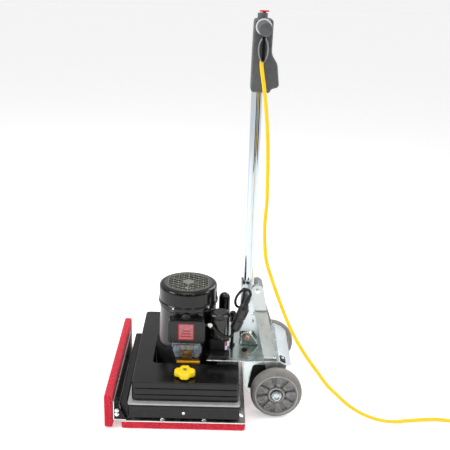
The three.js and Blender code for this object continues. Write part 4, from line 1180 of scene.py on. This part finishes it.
def add_trigger():
    y = TRIGGER_HINGE[0]
    loop = cheek(lens(14.5, 34), 70, 78, 1.3, [opening(lens(10.6, 30))], steps=3)
    bosses = facing_x(turned([(0, 68.6), (6.5, 68.6, 1), (6.5, 79, 1.2), (0, 79)], 32), 0, *TRIGGER_HINGE)
    piece("trigger_loops", "trigger", "trigger_plastic",
          merged(loop, mirrored(loop), bosses, mirrored(bosses)), "trigger")
    bar = facing_x(rod(4, -76, 76, 0.8, 28), 0, *TRIGGER_HINGE)
    finger = cheek(rectangle(y - 5, y + 5, 1027, 1093, 3), 71, 80, 1.8, steps=3)
    piece("trigger_levers", "trigger", "trigger_bar", merged(bar, finger, mirrored(finger)))


# ---------------------------------------------------------------- leads
def add_leads():
    lower, upper = Vector((62, 141, 222)), Vector((62, 175, 312))
    direction = (upper - lower).normalized()
    length = (upper - lower).length
    first = [(0, 0), (7.6, 0, 1), (9, 3, 1), (12.6, 6, 2), (14.5, 12, 2), (14.5, 42, 1.2), (12.6, 44),
             (0, 44)]
    second = [(0, 43), (13.4, 43), (13.4, 46), (14.5, 48, 1.2), (14.5, 82, 2), (11.4, 91, 3),
              (8.2, length, 2)]
    for k in range(5):
        h = length + 1 + 4.2 * k
        second += [(7.1, h, 0.5), (7.1, h + 1.4, 0.5), (5.6, h + 1.8, 0.4), (5.6, h + 3.4, 0.4)]
    second += [(6.6, length + 22, 0.8), (0, length + 22)]
    flats = []
    for low, high in ((14, 40), (50, 80)):
        flats += spun(block(12.6, 15.8, -3.0, 3.0, low, high, 1.1), 8)
    for low in (12, 38, 48, 78):
        flats.append(collar(13, 15.9, low, low + 3, 0.8, 40))
    connector = facing(merged(turned(first, 10, 2), turned(second, 10, 2), *flats), lower, direction)
    piece("lead_connector_halves", "chassis", "connector_plastic", connector,
          "lead_connector", sharp=22)
    end = lower + direction * (length + 21.5)
    motor = [
        lower, (65, 136.5, 212), (72, 131, 209), (81, 126, 211), (89, 119.5, 215), (95, 109, 221),
        (97.5, 98, 229), (98, 87, 239), (97, 79, 248), (94, 70, 254), (92.5, 62, 255.5), (92.5, 52, 255.5)]
    handle = [
        end, (62, 187.3, 345), (59, 181, 357), (54, 165, 355), (50, 150, 337), (47, 143, 315), (44, 148, 297),
        (43, 158, 294), (42, 165, 307), (42, 168, 330), (39, 169.5, 341), (33, 169.5, 344),
        (27.5, 169.5, 344)]
    piece("motor_lead_cable", "chassis", "black_rubber", tube(smooth_path(motor, 3), 3.6, 14),
          "motor_lead")
    piece("handle_lead_cable", "chassis", "black_rubber",
          tube(smooth_path(handle, 3), 4.0, 14), "handle_lead")
    bush = facing_x(turned([(0, 26), (7.4, 26), (7.4, 29.6, 1.2), (5, 31.5, 1), (0, 31.5)], 28), 0, 169.5,
                    344)
    piece("handle_lead_bush", "chassis", "black_rubber", bush)


def add_strain_relief():
    corners = [(0, 1026), (5.8, 1026, 0.4)]
    for k in range(7):
        h = 1028 + 5 * k
        out = 6.3 + 0.12 * k
        corners += [(out, h, 0.5), (out, h + 2.6, 0.5), (out - 1.1, h + 3.1, 0.3), (out - 1.1, h + 4.6, 0.3)]
    corners += [(7.2, 1063, 0.6), (7.2, 1075, 1.5), (5, 1078, 1.5), (0, 1078)]
    boot = shifted(turned(corners, 40, 2), 38, 190.5)
    elbow = turned([(0, 29.3), (7.6, 29.3, 0.5), (7.6, 31.6, 0.6), (6.1, 32.4), (6.1, 39), (0, 39)], 32)
    elbow = facing_x(elbow, 0, 190.5, 1068)
    piece("strain_relief_boot", "handle", "black_rubber", merged(boot, elbow),
          "strain_relief")


def finish_cad_nodes():
    """Finishes of the CAD solids shown as they are: the motor's inside, the eccentric and the under frame."""
    for finish, names in (
        ("cast_iron", ("stator_core", "eccentric_hub", "bearing_housing", "rotor")),
        ("steel", ("motor_bearing", "eccentric_bearing")),
        # Of these, the under frame's black is partly painted shade, filling the dark space under the deck.
        ("foot_paint", ("motor_end_plate", "under_frame", "cooling_fan")),
    ):
        for name in names:
            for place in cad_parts[name].material_slots:
                place.material = MATERIALS[finish]


# ---------------------------------------------------------------- stage and light
def add_world():
    """Even white studio light, dimmer from the side that the machine's near side faces."""
    world = bpy.data.worlds.new("studio")
    bpy.context.scene.world = world
    world.use_nodes = True
    tree = world.node_tree
    link = tree.links.new
    back = tree.nodes["Background"]
    set_inputs(back, Strength=0.62)
    where = add_node(tree, "TexCoord")
    split = add_node(tree, "SeparateXYZ")
    link(where.outputs["Generated"], split.inputs["Vector"])
    levels = (
        (0.0, 1.0), (0.30, 1.0), (0.34, 0.25), (0.40, 0.22), (0.46, 1.0), (0.78, 0.9), (0.88, 0.10),
        (1.0, 0.06))
    ramp = add_ramp(tree, [(position, [level] * 3) for position, level in levels])
    spread = add_node(tree, "MapRange", From_Min=-1, From_Max=1)
    link(split.outputs["X"], spread.inputs["Value"])
    link(spread.outputs["Result"], ramp.inputs["Fac"])
    overhead = add_node(tree, "MapRange", From_Min=0.35, From_Max=0.75)
    link(split.outputs["Z"], overhead.inputs["Value"])
    mix = add_node(tree, "Mix")
    mix.data_type = "RGBA"
    set_inputs(mix, B=(1, 1, 1, 1))
    link(overhead.outputs["Result"], mix.inputs["Factor"])
    link(ramp.outputs["Color"], mix.inputs["A"])
    link(mix.outputs["Result"], back.inputs["Color"])


def stage_sheet(name, points, faces, finish, z=0.0, unseen_by=()):
    """A mesh of the studio, left out of the kinds of ray that are named."""
    mesh = bpy.data.meshes.new(name)
    mesh.from_pydata(points, [], faces)
    mesh.materials.append(finish)
    made = bpy.data.objects.new(name, mesh)
    made.location.z = z
    for ray in unseen_by:
        setattr(made, "visible_" + ray, False)
    bpy.context.scene.collection.objects.link(made)


def glowing(finish, shade, strength):
    """Lets a stage material give off a grey of its own."""
    shader = finish.node_tree.nodes["Principled BSDF"]
    set_inputs(shader, Emission_Color=(shade, shade, shade, 1), Emission_Strength=strength)
    return shader


def add_floor():
    half = 60
    corners = [(-half, -half, 0), (half, -half, 0), (half, half, 0), (-half, half, 0)]
    paper = material("floor_paper", (0.90, 0.90, 0.90), 0.9, vary=0.0, bump=0.0)
    set_inputs(glowing(paper, 1, 0.40), Specular_IOR_Level=0.1)
    stage_sheet("floor", corners, [[0, 1, 2, 3]], paper, z=-0.0005)


def add_backdrop():
    """A pale wall all round, far off, so that the floor's edge meets the same tone at any angle."""
    paper = material("backdrop_paper", (0, 0, 0), 1.0, vary=0.0, bump=0.0, specular=0.0)
    glowing(paper, 0.90, 1.0)
    radius, low, high, count = 24, -0.1, 14, 48
    ring = circle(0, 0, radius, count)
    faces = [(k, (k + 1) % count, count + (k + 1) % count, count + k) for k in range(count)]
    stage_sheet("backdrop", [(u, v, low) for u, v in ring] + [(u, v, high) for u, v in ring], faces, paper,
                unseen_by=("diffuse", "glossy", "shadow", "transmission"))


def add_cards():
    """Dark studio cards on the near side, seen only in reflections."""
    dark = material("card_black", (0.004, 0.004, 0.004), 1.0, vary=0.0, bump=0.0, specular=0.0)
    height = 1.5
    edges = (((2.7, -0.25), (2.7, 0.55)), ((2.7, 0.95), (2.3, 2.6)), ((1.9, 2.9), (0.5, 2.9)))
    for number, (a, b) in enumerate(edges, 1):
        corners = [(*a, 0.0), (*b, 0.0), (*b, height), (*a, height)]
        stage_sheet(f"card_{number}", corners, [[0, 1, 2, 3]], dark,
                    unseen_by=("camera", "diffuse", "shadow", "transmission"))


def add_lights():
    bpy.context.scene.view_settings.view_transform = "Standard"
    for name, place, aim, width, height, power in (
        ("key", (0.9, -2.2, 2.0), (0, 0, 0.35), 1.0, 1.6, 40),
        ("rim", (0.2, 2.6, 1.9), (0, 0.1, 0.35), 0.8, 1.6, 30),
        ("top", (0.2, -0.2, 3.2), (0, 0, 0), 1.4, 1.4, 18),
        ("back", (-1.8, 1.4, 1.8), (0, 0.2, 0.2), 1.2, 1.2, 20),
        ("front_left", (2.3, -0.75, 2.3), (0, 0, 0.3), 0.30, 0.30, 5),
        ("front_right", (2.3, 0.85, 2.3), (0, 0, 0.3), 0.30, 0.30, 5),
    ):
        data = bpy.data.lights.new(name, "AREA")
        data.shape = "RECTANGLE"
        data.size, data.size_y, data.energy = width, height, power
        light = bpy.data.objects.new(name, data)
        light.location = place
        light.rotation_euler = (Vector(aim) - Vector(place)).to_track_quat("-Z", "Y").to_euler()
        bpy.context.scene.collection.objects.link(light)


add_camera()
add_materials()
add_world()
add_floor()
add_backdrop()
add_cards()
add_lights()
cord, cord_path, cord_length = add_cord()
add_coil_tie()
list(add_plug())
for build in (
    add_pads, add_driver, add_frame, add_weights, add_clamps, add_motor, add_fan_cover, add_junction_box,
    add_electrics, add_clear_cover, add_chassis, add_pivot, add_cradle, add_arms, add_wheels, add_handle,
    add_head, add_trigger, add_leads, add_strain_relief, finish_cad_nodes,
):
    build()
